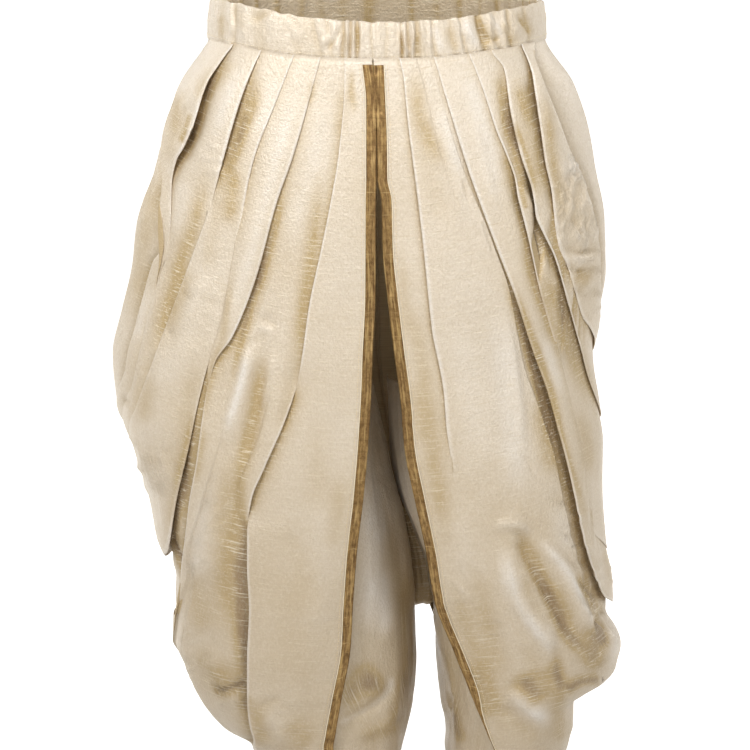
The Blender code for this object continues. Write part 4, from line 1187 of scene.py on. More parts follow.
# x from the middle, in mm, at LEVELS, of each back pleat, then the level at which
# it reaches the seam behind the leg, or the angle at the ankle.
BACK_RIGHT = [
    ("fold", (20, 30, 46, 64, 86, 104, 118, 120), None, 196, 4.0, 5.0, 1.0, 31),
    ("run", (30, 42, 62, 88, 116, 140, 158, 160), None, 172, 0, 0, 0, 32),
    ("run", (40, 55, 80, 110, 142, 168, 184, 190), None, 126, 0, 0, 0, 33),
    ("fold", (52, 70, 98, 132, 166, 192, 206, None), -690, None, 4.5, 7.0, 1.0, 34),
    ("fold", (84, 108, 142, 178, 208, 226, None, None), -590, None, 4.0, 6.0, 0.9, 35),
    ("fold", (116, 148, 184, 216, 244, None, None, None), -490, None, 4.5, 7.0, 1.0, 36),
    ("fold", (148, 188, 222, 250, None, None, None, None), -425, None, 3.5, 5.0, 0.8, 37),
]
BACK_LEFT = [
    ("fold", (23, 33, 48, 68, 92, 122, 150, 172), None, 194, 4.0, 5.0, 1.0, 51),
    ("run", (32, 45, 66, 92, 122, 150, 176, 190), None, 170, 0, 0, 0, 52),
    ("run", (42, 58, 84, 114, 146, 174, 198, 214), None, 126, 0, 0, 0, 53),
    ("fold", (56, 74, 103, 134, 162, 190, 218, None), -680, None, 4.5, 7.0, 1.0, 54),
    ("fold", (88, 112, 146, 172, 196, 216, None, None), -585, None, 4.0, 6.0, 0.9, 55),
    ("fold", (120, 152, 182, 206, 226, None, None, None), -470, None, 4.5, 7.0, 1.0, 56),
    ("fold", (152, 190, 216, 232, None, None, None, None), -380, None, 3.5, 5.0, 0.8, 57),
]


def back_drape(side, name, table, counts, front_table, seed, mats):
    rows = ROWS_BACK
    front_edge = front_line(side, front_table[-1], 400)

    def border(z):
        a = np.interp(-z, -front_edge[:, 1], front_edge[:, 0])
        return np.where(z > front_edge[-1, 1], a, seam_angle(side, z))

    # centre-back seam, then the inside of the leg
    zs = np.linspace(0.0037, CUFF_TOP + SEAM_GAP, 40)
    centre = [(float(back_edge_angle(side, z)), z) for z in zs]
    raw = [even(centre, rows)]
    rest = []
    for kind, xs, seam, end, high, deep, f, s in table:
        pts = []
        for level, x in zip(LEVELS, xs):
            if x is None:
                continue
            z = 0.0035 if level == LEVELS[0] else level * MM
            pts.append((float(angle_at(side, side * x * MM, z, behind=True)), z))
        if seam is not None:
            pts.append((float(border(np.array(seam * MM))) - 2.6, seam * MM))
        if end is not None:
            pts.append((0.5 * (pts[-1][0] + end), (pts[-1][1] + CUFF_TOP) / 2))
            pts.append((end, CUFF_TOP + SEAM_GAP))
        raw.append(even(pts, rows))
        rest.append(dict(kind=kind, f=f, high=high, deep=deep, seed=s, puff=3.0 if kind == "fold" else 0.0,
                         wide=16, shade_tint=0.75, lap=12))
    stop = front_edge[-1, 1]
    zs = np.linspace(0.0, stop, 30)
    raw.append(even([(float(border(np.array(z))) - 3.2, z) for z in zs], rows))
    w = np.linspace(0, 1, rows)
    lines = [dict(pts=raw[0], kind="edge", puff=2.0 * MM * np.ones(rows))]
    for row, pts in zip(rest, raw[1:-1]):
        ln = dict(pts=pts, kind=row["kind"])
        if row["kind"] == "fold":
            ramp = 0.25 + 0.75 * ease(w / 0.2)
            fade = 1.0 - 0.6 * ease((w - 0.88) / 0.12)
            ln["f"] = row["f"] * (0.75 + 0.25 * wander(w, 5, row["seed"]))
            ln["high"] = row["high"] * MM * ramp * fade * (1 + 0.3 * wander(w, 8, row["seed"] + 1))
            ln["deep"] = row["deep"] * MM * ramp * fade * (1 + 0.4 * wander(w, 5, row["seed"] + 2))
            ln["wide"] = row["wide"] * MM * (0.6 + 0.4 * ramp) * (1 + 0.3 * wander(w, 4, row["seed"] + 3))
            ln["lap"] = row["lap"] * MM * (0.5 + 0.5 * ramp)
            ln["shade_tint"] = row["shade_tint"] * ramp
        ln["puff"] = row["puff"] * MM * ease(w / 0.25) * (0.7 + 0.3 * wander(w, 6, row["seed"] + 4))
        lines.append(ln)
    lines.append(dict(pts=raw[-1], kind="edge"))
    a, z, h, tone_and_painted_light, _ = lay_drape(on_body, side, lines, counts, -1.0, rows)
    p, n, off, tone_and_painted_light = drape_points(on_body, side, a, z, h, tone_and_painted_light, BACK_CREASES, seed, True)
    ww = w[:, None]
    # runs under the front drape at the side and behind the leg
    tuck = ease((border(z) + 3.0 - a) / 3.4)
    off = off - tuck * 5.5 * MM * (0.35 + 0.65 * ease(ww / 0.12))
    # painted shade where the back panel runs under the front drape
    tone_and_painted_light = tone_and_painted_light + tuck * 0.5
    # the two panels keep to their own side of the centre-back seam
    middle = np.exp(-(np.abs(a - centre_limit(side, z)) * 0.0042 / 0.012) ** 2)
    off = off * (1 - 0.85 * middle) - 1.8 * MM * middle * ease((0.62 + z) / 0.05)
    flat = n.copy()
    flat[0, :, 2] = 0
    flat[0] /= np.linalg.norm(flat[0], axis=-1, keepdims=True)
    upper = (z > -0.60) & (middle > 0.2)
    flat[upper, 0] *= 0.2
    off[0] -= 1.2 * MM
    q = p + flat * off[..., None]
    q[0, :, 2] += 3.0 * MM
    low = ease((-z - 0.86) / 0.06)
    q += n * (low * 2.2 * MM * np.sin(np.radians(a) * 17 + 2 * wander((a + 180) / 480, 14, seed + 9)))[..., None]
    # seam allowance turned in along the centre-back seam, one side under the other
    turned = q[:, :1].copy()
    reach = ease((z[:, :1] + 0.62) / 0.03)
    turned[..., 1] -= 5.0 * MM * reach
    turned[..., 0] += (-side * 2.5 if side < 0 else -side * 0.2) * MM * reach
    q = np.concatenate((turned, q), axis=1)
    n = np.concatenate((n[:, :1], n), axis=1)
    # painted shade on the turned-in seam allowance
    tone_and_painted_light = np.concatenate((tone_and_painted_light[:, :1] + 0.3, tone_and_painted_light), axis=1)
    return sheet_object(name, q, n, mats, np.clip(tone_and_painted_light, -0.5, 1.5)), q


def centre_limit(side, z):
    return back_edge_angle(side, z)


# ---------------------------------------------------------------- inner parts
INNER_CREASES_RIGHT = [
    ([(387, 470), (396, 516), (404, 554), (409, 592), (414, 617)], 4, 8, 3.0),
    ([(372, 430), (378, 500), (384, 560), (388, 620)], 7, 7, -3.0),
    ([(366, 520), (370, 600), (372, 660)], 6, 6, 2.0),
    ([(337, 726), (371, 710), (390, 689), (391, 674)], 4, 7, -5.0),
    ([(345, 740), (380, 726), (402, 700)], 6, 6, 3.0),
]
INNER_CREASES_LEFT = [
    ([(389, 472), (405, 520), (425, 569)], 4, 5, 2.5),
    ([(396, 503), (415, 560), (430, 610)], 5, 5, -3.0),
    ([(455, 690), (446, 718), (450, 745)], 4, 4, -4.0),
    ([(462, 660), (470, 700), (480, 740)], 6, 6, 2.5),
]


# Painted shade (+) and painted highlight (-) on the inner leg panels: points in the view, half width left and right,
# how much, fades.
INNER_PAINTED_LIGHT_RIGHT = [
    ([(370, 470), (375, 540), (371, 600), (366, 645)], 10, 12, -0.5),
    ([(374, 445), (380, 500), (383, 550)], 10, 8, -0.6),
    ([(346, 712), (354, 692), (370, 684), (388, 678)], 8, 13, 0.62),
    ([(404, 560), (412, 610), (412, 660), (408, 720)], 9, 5, 0.62),
    ([(350, 738), (376, 732), (396, 718), (408, 700)], 9, 9, 0.42),
    ([(360, 658), (370, 680), (384, 700)], 12, 10, 0.42),
    ([(404, 660), (401, 700), (396, 738)], 9, 9, 0.50),
    ([(386, 560), (385, 600), (383, 644)], 9, 8, -0.50),
    ([(338, 725), (371, 709), (390, 688), (391, 674)], 3, 3, -0.6, 0.1, 0.1),
]
INNER_PAINTED_LIGHT_LEFT = [
    ([(386, 380), (392, 420), (398, 470)], 8, 9, -0.4),
    ([(396, 450), (401, 500), (409, 545)], 12, 10, -0.6),
    ([(442, 640), (452, 690), (458, 735)], 9, 9, 0.30),
    ([(453, 704), (457, 725), (466, 745)], 5, 5, 0.9),
    ([(446, 704), (444, 725), (447, 748)], 2, 2, -0.5),
    ([(404, 520), (420, 560), (434, 596)], 6, 6, 0.5),
]


def inner_leg(side, name, table, seed, mat):
    rows, cols = 190, 84
    top, bottom = INNER[0][0] * MM, CUFF_TOP + SEAM_GAP
    t = np.linspace(0, 1, rows)[:, None]
    s = np.linspace(0, 1, cols)[None, :]
    z = top + (bottom - top) * t + 0 * s
    a0, a1 = smooth(INNER, 7, z / MM), smooth(INNER, 8, z / MM)
    a = a0 + (a1 - a0) * s
    p, n, _, _ = surface(on_inner, side, a, z)
    u, v = picture(p)
    facing = ease((-n[..., 1] + 0.25) / 0.3)
    off = creases(u, v, table) * facing
    # soft lengthwise folds, deeper behind
    turn = 3.2 * s + 0.9 * t + 0.35 * wander(t, 6, seed)
    off += 2.8 * np.sin(2 * pi * turn) * ease(t / 0.15) * ease((1 - t) / 0.08) * (0.4 + 0.6 * s)
    off += 0.8 * patch(a / 9, z / 0.05, seed + 1) + 0.9 * crumple(a / 7, z / 0.06, seed + 2)
    off -= 3.0 * np.exp(-(s / 0.06) ** 2)
    off += ease((-z - 0.86) / 0.06) * 1.8 * np.sin(np.radians(a) * 17)
    strokes = INNER_PAINTED_LIGHT_RIGHT if side < 0 else INNER_PAINTED_LIGHT_LEFT
    # painted shade in the hollows of the folds, plus painted shade and highlight strokes
    tone_and_painted_light = np.clip(-off * 0.07, 0, 0.5) + silk_tone_and_painted_light(u, v, strokes, facing, seed + 5)
    q = p + n * off[..., None] * MM
    return sheet_object(name, q, n, mat, np.clip(tone_and_painted_light, -0.5, 1.5)), q


def inner_x(side, y, z):
    mm = z / MM
    first = 1 if side < 0 else 3
    cx, inn = smooth(INNER, first, mm) * MM, smooth(INNER, first + 1, mm) * MM
    depth = np.where(y > 0, smooth(INNER, 6, mm), smooth(INNER, 5, mm)) * MM
    c = np.minimum(np.abs(y / depth), 1.0) ** (ROUND / 2.0)
    return cx + (inn - cx) * (1 - c * c) ** (1.0 / ROUND)


def crotch(name, mat):
    rows, cols = 60, 26
    k = np.arange(len(CROTCH))
    t = np.linspace(0, len(CROTCH) - 1, rows)
    y = monotone(k, [c[0] for c in CROTCH], t) * MM
    z = monotone(k, [c[1] for c in CROTCH], t) * MM
    dy, dz = np.gradient(y), np.gradient(z)
    size = np.hypot(dy, dz)
    n = np.stack((np.zeros(rows), dz / size, -dy / size), axis=1)
    x0, x1 = inner_x(-1, y, z) + 1.0 * MM, inner_x(1, y, z) - 1.0 * MM
    u = np.linspace(0, 1, cols)[None, :]
    x = x0[:, None] + (x1 - x0)[:, None] * u
    p = np.stack((x, y[:, None] + 0 * u, z[:, None] + 0 * u), axis=-1)
    w = np.linspace(0, 1, rows)[:, None]
    sag = 0.10 * (x1 - x0)[:, None] * 4 * u * (1 - u)
    sag = sag + (1.2 * np.sin(2 * pi * (2.2 * u + 0.6 * w)) + 0.8 * crumple(u * 5, w * 5, 71)) * MM * 4 * u * (1 - u)
    q = p + n[:, None] * sag[..., None]
    nn = np.broadcast_to(n[:, None], q.shape)
    # painted shade: the whole crotch piece is coloured golden-dark as cloth deep in shade
    return sheet_object(name, q, nn, mat, 0.75 + 0 * sag)


# ---------------------------------------------------------------- waistband
# Gathers of the casing in the view: x at the seam, x at the top,
# half width in pixels, height in mm (below 0 is a valley).
GATHERS = [
    (332, 326, 3.0, -1.2), (338, 334, 3.0, 1.2), (327, 318, 3.5, 1.0), (322, 312, 3.5, -1.0),
    (343, 343, 2.2, -2.6), (346.5, 347, 2.0, 2.6), (350, 350.5, 1.8, -3.2), (353, 354, 2.0, 2.8),
    (357, 357, 2.2, -3.0), (362, 361, 3.0, 1.2), (372, 371.5, 1.2, -1.4), (379, 379, 3.5, 1.2),
    (387, 386, 2.0, -0.8), (394, 392, 3.0, 1.0), (399.5, 399, 1.4, 1.8), (402, 401.5, 1.4, -2.6),
    (405.5, 404.5, 1.5, 2.2), (409, 408, 1.6, -2.4), (413, 411.5, 1.5, 2.2), (418, 417, 3.0, -2.4),
    (424, 420, 2.4, 1.4), (431, 429, 2.0, 1.8), (437, 431, 2.5, -1.6), (446, 440, 4.5, 1.2),
    (456, 449, 3.5, -0.9), (463, 455, 1.8, 1.6), (468, 459, 2.0, -1.6), (474, 467, 3.0, 1.2),
    (485, 479, 3.5, -3.0), (492, 489, 2.0, 1.8), (499, 494, 2.4, -1.2), (505, 503, 2.0, 1.6),
    (511, 508, 2.2, -1.8), (519, 514, 3.5, 1.2), (528, 525, 2.2, -1.2),
    (300, 290, 6, -0.8), (285, 272, 8, 0.8), (262, 256, 9, -0.9), (246, 243, 5, 0.9), (236, 233, 2.5, -1.4),
    (230, 229, 2.0, 1.4), (222, 222, 3.0, -1.0),
]


# Painted shade (+) and painted highlight (-) on the front of the waistband: points in the view, half width left and
# right, how much, fades.
BAND_PAINTED_LIGHT = [
    ([(356, 22), (357, 38), (357, 56)], 3, 3, 0.5),
    ([(344, 26), (346, 40), (348, 56)], 2, 2, 0.4),
    ([(398, 28), (401, 44), (402, 60)], 2, 3, 0.4),
    ([(418, 30), (420, 46), (424, 60)], 5, 4, 0.30),
    ([(446, 24), (452, 40), (458, 54)], 5, 5, 0.34),
    ([(478, 20), (486, 36), (494, 50)], 5, 6, 0.45),
    ([(500, 22), (508, 36), (514, 48)], 6, 6, 0.40),
    ([(516, 10), (524, 24), (532, 40)], 5, 6, 0.35),
    ([(432, 22), (437, 38), (442, 54)], 4, 4, -0.35),
    ([(462, 16), (470, 32), (478, 50)], 5, 4, -0.40),
    ([(490, 12), (497, 26), (503, 42)], 3, 3, -0.35),
    ([(232, 8), (240, 22), (244, 36)], 5, 5, 0.22),
    ([(222, 16), (222, 28), (222, 40)], 4, 4, 0.40),
    ([(300, 14), (308, 30), (314, 50)], 6, 6, 0.14),
]
BAND_CREASES = [
    ([(246, 24), (262, 20), (280, 10)], 3.5, 4.5, -1.6),
    ([(231, 20), (233, 30), (232, 38)], 1.8, 1.8, 2.2),
    ([(228, 22), (229, 32), (229, 40)], 1.5, 1.5, -1.8),
    ([(284, 18), (292, 30), (300, 44)], 4, 4, 1.0),
    ([(318, 50), (330, 38), (338, 22)], 3, 3, 1.3),
    ([(322, 54), (334, 42), (343, 24)], 2.4, 2.4, -1.6),
    ([(402, 24), (404, 42), (409, 52), (413, 42), (414, 24)], 1.4, 1.4, 1.8, 0.05, 0.05),
    ([(420, 24), (424, 34), (430, 52)], 2.0, 2.4, 1.8),
    ([(456, 18), (462, 30), (470, 40)], 2.0, 2.4, 2.0),
    ([(478, 14), (482, 30), (488, 46)], 3.0, 3.5, -2.8, 0.1, 0.2),
    ([(488, 16), (496, 28), (506, 32)], 2.2, 2.6, 2.2),
    ([(484, 36), (494, 40), (502, 36)], 2.0, 2.0, -2.2),
    ([(502, 20), (508, 30), (514, 42)], 2.2, 2.2, 1.8),
    ([(516, 16), (524, 26), (532, 34)], 2.4, 2.4, -1.8),
]


def turned_in(v, faces, middle):
    """True if the faces of a ring folded from inside over the top face inwards."""
    p = v - middle
    return sum(np.einsum("ij,ij->i", p[f[:, 0]], np.cross(p[f[:, 1]], p[f[:, 2]])).sum()
               for f in (faces[:, [0, 1, 2]], faces[:, [0, 2, 3]])) < 0


def waistband(name, mat):
    around = 800
    share = np.arange(around) / around                   # columns are closer in front
    th = 360.0 * (share - 0.45 * np.sin(2 * pi * share) / (2 * pi))
    side = np.where(th <= 180, -1, 1)
    a = np.where(th <= 180, th, 360 - th)
    base = np.where(side[:, None] < 0, on_body(-1, a, 0.0 * a), on_body(1, a, 0.0 * a))
    n = base * np.array((1 / 0.183 ** 2, 1 / 0.117 ** 2, 0))
    n /= np.linalg.norm(n, axis=1, keepdims=True)
    seam = seam_level(a)
    # the casing's section, from its inner lower edge over the top to the seam
    prof = []                                             # outward, height share, inside
    for t in np.linspace(0.04, 0.93, 10):
        prof.append((-3.2 - 0.5 * np.sin(pi * t), t))
    for k in np.linspace(0, pi, 8)[1:-1]:
        prof.append((-1.6 - 1.6 * np.cos(k) * -1 * -1, 0.95 + 0.045 * np.sin(k)))
    for t in np.linspace(0.93, 0.0, 17):
        prof.append((0.0 + 1.1 * np.sin(pi * t) ** 0.8, t))
    prof.append((-0.6, -0.02))
    prof = np.array(prof)
    count = len(prof)
    pts = np.zeros((count, around, 3))
    tone_and_painted_light = np.zeros((count, around))
    front = ease((-n[:, 1]) / 0.3)
    rng = np.random.default_rng(81)
    # gathers out of the view's reach, all round the back
    places = np.cumsum(rng.uniform(2.6, 6.4, 60)) + 78
    places = places[places < 284]
    heights = rng.uniform(0.9, 2.6, len(places)) * np.where(np.arange(len(places)) % 2, 1, -1)
    leans = rng.uniform(-1.6, 1.6, len(places))
    widths = rng.uniform(0.8, 1.7, len(places))
    for k, (out, t) in enumerate(prof):
        tt = np.clip(t, 0, 1)
        p = base.copy()
        p[:, 2] = seam + BAND_HEIGHT * t
        inside = k < 13
        px, py = picture(p)
        g = np.zeros(around)
        for x0, x1, wide, high in GATHERS:
            x = x0 + (x1 - x0) * tt + 0.8 * np.sin(tt * 5 + x0)
            g += high * np.exp(-((px - x) / wide) ** 2)
        g += creases(px, py, BAND_CREASES)
        g *= front
        b = np.zeros(around)
        for q, high, lean, wide in zip(places, heights, leans, widths):
            c = q + lean * (tt - 0.5)
            b += high * np.exp(-((th - c) / wide) ** 2)
        g += b * (1 - front)
        strength = 0.85 + 0.35 * np.sin(pi * np.clip(tt * 0.85 + 0.12, 0, 1)) if not inside else 0.5
        small = 0.4 * patch(th / 1.6, tt * 3.4 + 0 * th, 83) + 0.9 * (crumple(th / 2.2 + tt, tt * 3.4 + 0 * th, 84) - 0.3)
        lean_in = -3.5 * tt
        off = (out + lean_in + g * strength * 0.85 + small * (0.6 if not inside else 0.3) + 1.2) * MM
        p += n * off[:, None]
        taller = 6.0 * np.exp(-((th - 48) / 30.0) ** 2) + 1.5 * np.exp(-((th - 318) / 20.0) ** 2)
        p[:, 2] += (1.1 * patch(th / 3.4, 0 * th, 85) + g * 0.22 + taller) * MM * tt
        pts[k] = p
        # painted shade in the valleys of the gathers and on the casing's inner face; strokes of painted shade and
        # highlight on its front
        tone_and_painted_light[k] = np.clip(-g * 0.2, 0, 0.7) + (0.35 if inside else creases(px, py, BAND_PAINTED_LIGHT) * front)
    rows, cols = count, around
    faces = grid_faces(rows, cols, wrap=True)
    v = pts.reshape(-1, 3)
    if turned_in(v, faces, np.zeros(3)):
        faces = faces[:, ::-1]
    arc = np.concatenate(([0], np.cumsum(np.linalg.norm(np.diff(base, axis=0), axis=1))))
    uv = np.stack(np.broadcast_arrays(arc[None, :], (np.arange(count) * 3.0 * MM)[:, None]), axis=-1)
    obj = mesh_object(name, v, faces, mat, uv.reshape(-1, 2), tone_and_painted_light.ravel(), 0.4 * MM)
    k = count - 4
    line = np.vstack((pts[k], pts[k][:1]))
    return obj, line + np.vstack((n, n[:1])) * 0.15 * MM, np.vstack((n, n[:1]))


def cuff(side, name, mat, seed):
    around, rows = 220, 26
    a = -180 + 360.0 * np.arange(around) / around
    prof = [(-2.4 - 0.3 * np.sin(pi * t), t) for t in np.linspace(0.05, 0.95, 8)]
    prof += [(-1.2 - 1.2 * np.cos(k), 0.97 + 0.03 * np.sin(k)) for k in np.linspace(0, pi, 5)[1:-1]]
    prof += [(1.1 * np.sin(pi * t) ** 0.8, t) for t in np.linspace(0.96, 0.03, rows - 13)]
    prof += [(-1.2 + 1.2 * np.cos(k), 0.03 - 0.03 * np.sin(k)) for k in np.linspace(0, pi, 4)[1:-1]]
    pts = []
    rng = np.random.default_rng(seed)
    phase = wander((a + 180) / 360, 18, seed) * 1.6
    for out, t in prof:
        z = CUFF_BOTTOM + (CUFF_TOP - SEAM_GAP - CUFF_BOTTOM) * t
        p = on_body(side, a, np.full(around, z))
        cx = section(side, z)[0]
        n = p - np.array((float(cx), 0.0, z))
        n /= np.linalg.norm(n, axis=1, keepdims=True)
        g = 0.9 * np.sin(np.radians(a) * 19 + phase + 1.2 * t) * np.sin(pi * np.clip(t, 0.1, 0.9))
        pts.append(p + n * ((out + 1.0 + g * 0.8) * MM)[:, None])
    pts = np.array(pts)
    count = len(prof)
    faces = grid_faces(count, around, wrap=True)
    v = pts.reshape(-1, 3)
    if turned_in(v, faces, np.array((float(section(side, CUFF_TOP)[0]), 0, 0.5 * (CUFF_TOP + CUFF_BOTTOM)))):
        faces = faces[:, ::-1]
    uv = np.stack(np.broadcast_arrays((np.arange(around) * 1.6 * MM)[None, :], (np.arange(count) * 3 * MM)[:, None]), axis=-1)
    return mesh_object(name, v, faces, mat, uv.reshape(-1, 2), None, 0.4 * MM)


# ---------------------------------------------------------------- materials
class Graph:
    """Short way to write a node tree."""

    def __init__(self, name):
        self.mat = bpy.data.materials.new(name)
        self.mat.use_nodes = True
        self.tree = self.mat.node_tree
        self.shader = self.tree.nodes["Principled BSDF"]

    def add(self, kind, links=(), **values):
        n = self.tree.nodes.new(kind)
        for key, value in values.items():
            setattr(n, key, value)
        for key, value in dict(links).items():
            self.put(n.inputs[key], value)
        return n

    def put(self, socket, value):
        if isinstance(value, bpy.types.NodeSocket):
            self.tree.links.new(value, socket)
        else:
            socket.default_value = value

    def math(self, op, a, b=0.0, c=0.0):
        return self.add("ShaderNodeMath", {0: a, 1: b, 2: c}, operation=op).outputs[0]

    def stretch(self, source, scale, offset=(0, 0, 0)):
        return self.add("ShaderNodeMapping", {"Vector": source, "Scale": scale, "Location": offset}).outputs[0]

    def noise(self, vector, scale=1.0, detail=2.0, rough=0.5):
        return self.add("ShaderNodeTexNoise", {"Vector": vector, "Scale": scale, "Detail": detail, "Roughness": rough}).outputs["Fac"]

    def span(self, value, lo, hi, to_lo=0.0, to_hi=1.0):
        return self.add("ShaderNodeMapRange", {"Value": value, "From Min": lo, "From Max": hi, "To Min": to_lo, "To Max": to_hi}).outputs[0]

    def mix(self, share, a, b, kind="MIX"):
        n = self.tree.nodes.new("ShaderNodeMix")
        n.data_type = "RGBA"
        n.blend_type = kind
        n.clamp_factor = True
        self.put(n.inputs[0], share)
        self.put(n.inputs[6], a)
        self.put(n.inputs[7], b)
        return n.outputs[2]

    def bump(self, height, strength, distance, under=None):
        links = {"Height": height, "Strength": strength, "Distance": distance}
        if under is not None:
            links["Normal"] = under
        return self.add("ShaderNodeBump", links).outputs[0]


# colours of the silk: painted highlight, its own cream, painted shade golden and deep
PAINTED_HIGHLIGHT = (0.85, 0.795, 0.735, 1)
CREAM = (0.75, 0.66, 0.55, 1)
PAINTED_SHADE_GOLD = (0.46, 0.325, 0.145, 1)
PAINTED_SHADE_DEEP = (0.20, 0.11, 0.035, 1)


def silk(name, turn=False, shade_tint=0.0, slub=1.0):
    """Raw silk with uneven weft: pale threads over golden ones. Its colour also carries painted shade and highlight
    from the mesh, a painted sheen speckle and painted shade towards the legs.
    """
    g = Graph(name)
    uv = g.add("ShaderNodeUVMap", uv_map="cloth").outputs[0]
    along, across = ((520, 14, 1), (1100, 46, 1)) if turn else ((26, 560, 1), (46, 1250, 1))
    thick = g.span(g.noise(g.stretch(uv, along), 1.0, 2.0, 0.6), 0.545, 0.69)
    fine = g.noise(g.stretch(uv, across, (3, 7, 0)), 1.0, 1.0, 0.5)
    other = (14, 1400, 1) if turn else (1400, 14, 1)
    warp = g.noise(g.stretch(uv, other), 1.0, 0.0, 0.5)
    cloud = g.noise(g.add("ShaderNodeTexCoord").outputs["Object"], 9.0, 3.0, 0.55)
    dark = g.span(g.noise(g.stretch(uv, along, (9, 4, 0)), 1.0, 2.0, 0.6), 0.60, 0.74)
    tone_and_painted_light = g.add("ShaderNodeAttribute", attribute_name="tone_and_painted_light").outputs["Fac"]
    tone_and_painted_light = g.math("ADD", tone_and_painted_light, shade_tint)
    tone_and_painted_light = g.math("ADD", tone_and_painted_light, g.span(cloud, 0.35, 0.7, -0.06, 0.10))
    # the colour shift paints highlights pale and shade golden, and deep in the darkest slits
    first = g.mix(g.span(tone_and_painted_light, -0.45, 0.0), PAINTED_HIGHLIGHT, CREAM)
    first = g.mix(g.span(tone_and_painted_light, 0.0, 0.75), first, PAINTED_SHADE_GOLD)
    base = g.mix(g.span(tone_and_painted_light, 0.9, 1.5, 0.0, 0.85), first, PAINTED_SHADE_DEEP)
    base = g.mix(g.math("MULTIPLY", thick, g.span(tone_and_painted_light, 0.30, 0.85, 0.20 * slub, 0.80 * slub)), base, (0.90, 0.82, 0.66, 1))
    base = g.mix(g.math("MULTIPLY", dark, 0.34 * slub), base, (0.56, 0.43, 0.24, 1))
    # painted sheen: a fine speckle of paler and darker colour
    painted_sheen_speckle = g.noise(g.stretch(g.add("ShaderNodeTexCoord").outputs["Object"], (430, 430, 300)), 1.0, 3.0, 0.7)
    base = g.mix(g.span(painted_sheen_speckle, 0.50, 0.66, 0.0, 0.20), base, (0.93, 0.87, 0.78, 1))
    base = g.mix(g.span(painted_sheen_speckle, 0.50, 0.34, 0.0, 0.22), base, (0.52, 0.42, 0.28, 1))
    grain = g.noise(g.add("ShaderNodeTexCoord").outputs["Object"], 520.0, 2.0, 0.7)
    base = g.mix(g.span(grain, 0.35, 0.65, 0.14, 0.0), base, (0.50, 0.40, 0.27, 1))
    base = g.mix(g.span(fine, 0.35, 0.65, 0.12, 0.0), base, (0.55, 0.43, 0.25, 1))
    base = g.mix(g.span(warp, 0.35, 0.65, 0.07, 0.0), base, (0.60, 0.50, 0.32, 1))
    # painted shade: the silk is darkened towards the legs, where less light reaches
    level = g.add("ShaderNodeSeparateXYZ", {0: g.add("ShaderNodeTexCoord").outputs["Object"]}).outputs["Z"]
    base = g.mix(g.span(level, -0.40, -0.80, 0.0, 0.20), base, (0.34, 0.28, 0.225, 1))
    g.put(g.shader.inputs["Base Color"], base)
    g.put(g.shader.inputs["Roughness"], g.span(g.math("ADD", fine, thick), 0.4, 1.6, 0.38, 0.50))
    g.shader.inputs["Metallic"].default_value = 0.15
    g.shader.inputs["Specular IOR Level"].default_value = 0.7
    g.shader.inputs["Anisotropic"].default_value = 0.35
    g.shader.inputs["Sheen Weight"].default_value = 0.15
    g.shader.inputs["Sheen Roughness"].default_value = 0.35
    g.shader.inputs["Sheen Tint"].default_value = (1.0, 0.93, 0.80, 1)
    height = g.math("ADD", g.math("MULTIPLY", thick, 1.0), g.math("MULTIPLY", fine, 0.6))
    height = g.math("ADD", height, g.math("MULTIPLY", warp, 0.25))
    place = g.add("ShaderNodeTexCoord").outputs["Object"]
    soft = g.bump(g.noise(place, 42.0, 2.0, 0.5), 0.38, 0.0014)
    crisp = g.math("POWER", g.math("SUBTRACT", 1.0, g.math("ABSOLUTE", g.span(g.noise(place, 75.0, 2.0, 0.55), 0.3, 0.7, -1.0, 1.0))), 3.0)
    soft = g.bump(crisp, 0.20, 0.0008, soft)
    soft = g.bump(g.noise(g.stretch(place, (430, 430, 280)), 1.0, 2.0, 0.7), 0.9, 0.0012, soft)
    g.put(g.shader.inputs["Normal"], g.bump(height, 0.40, 0.0004, soft))
    return g.mat


def shaded_reverse():
    """Inside of the silk, painted dark golden-brown as shade for the cloth's inner faces."""
    g = Graph("silk_reverse")
    uv = g.add("ShaderNodeUVMap", uv_map="cloth").outputs[0]
    weave = g.noise(g.stretch(uv, (30, 900, 1)), 1.0, 2.0, 0.6)
    g.put(g.shader.inputs["Base Color"], g.mix(g.span(weave, 0.3, 0.7), (0.42, 0.31, 0.17, 1), (0.54, 0.42, 0.25, 1)))
    g.shader.inputs["Roughness"].default_value = 0.6
    g.put(g.shader.inputs["Normal"], g.bump(weave, 0.3, 0.0004))
    return g.mat


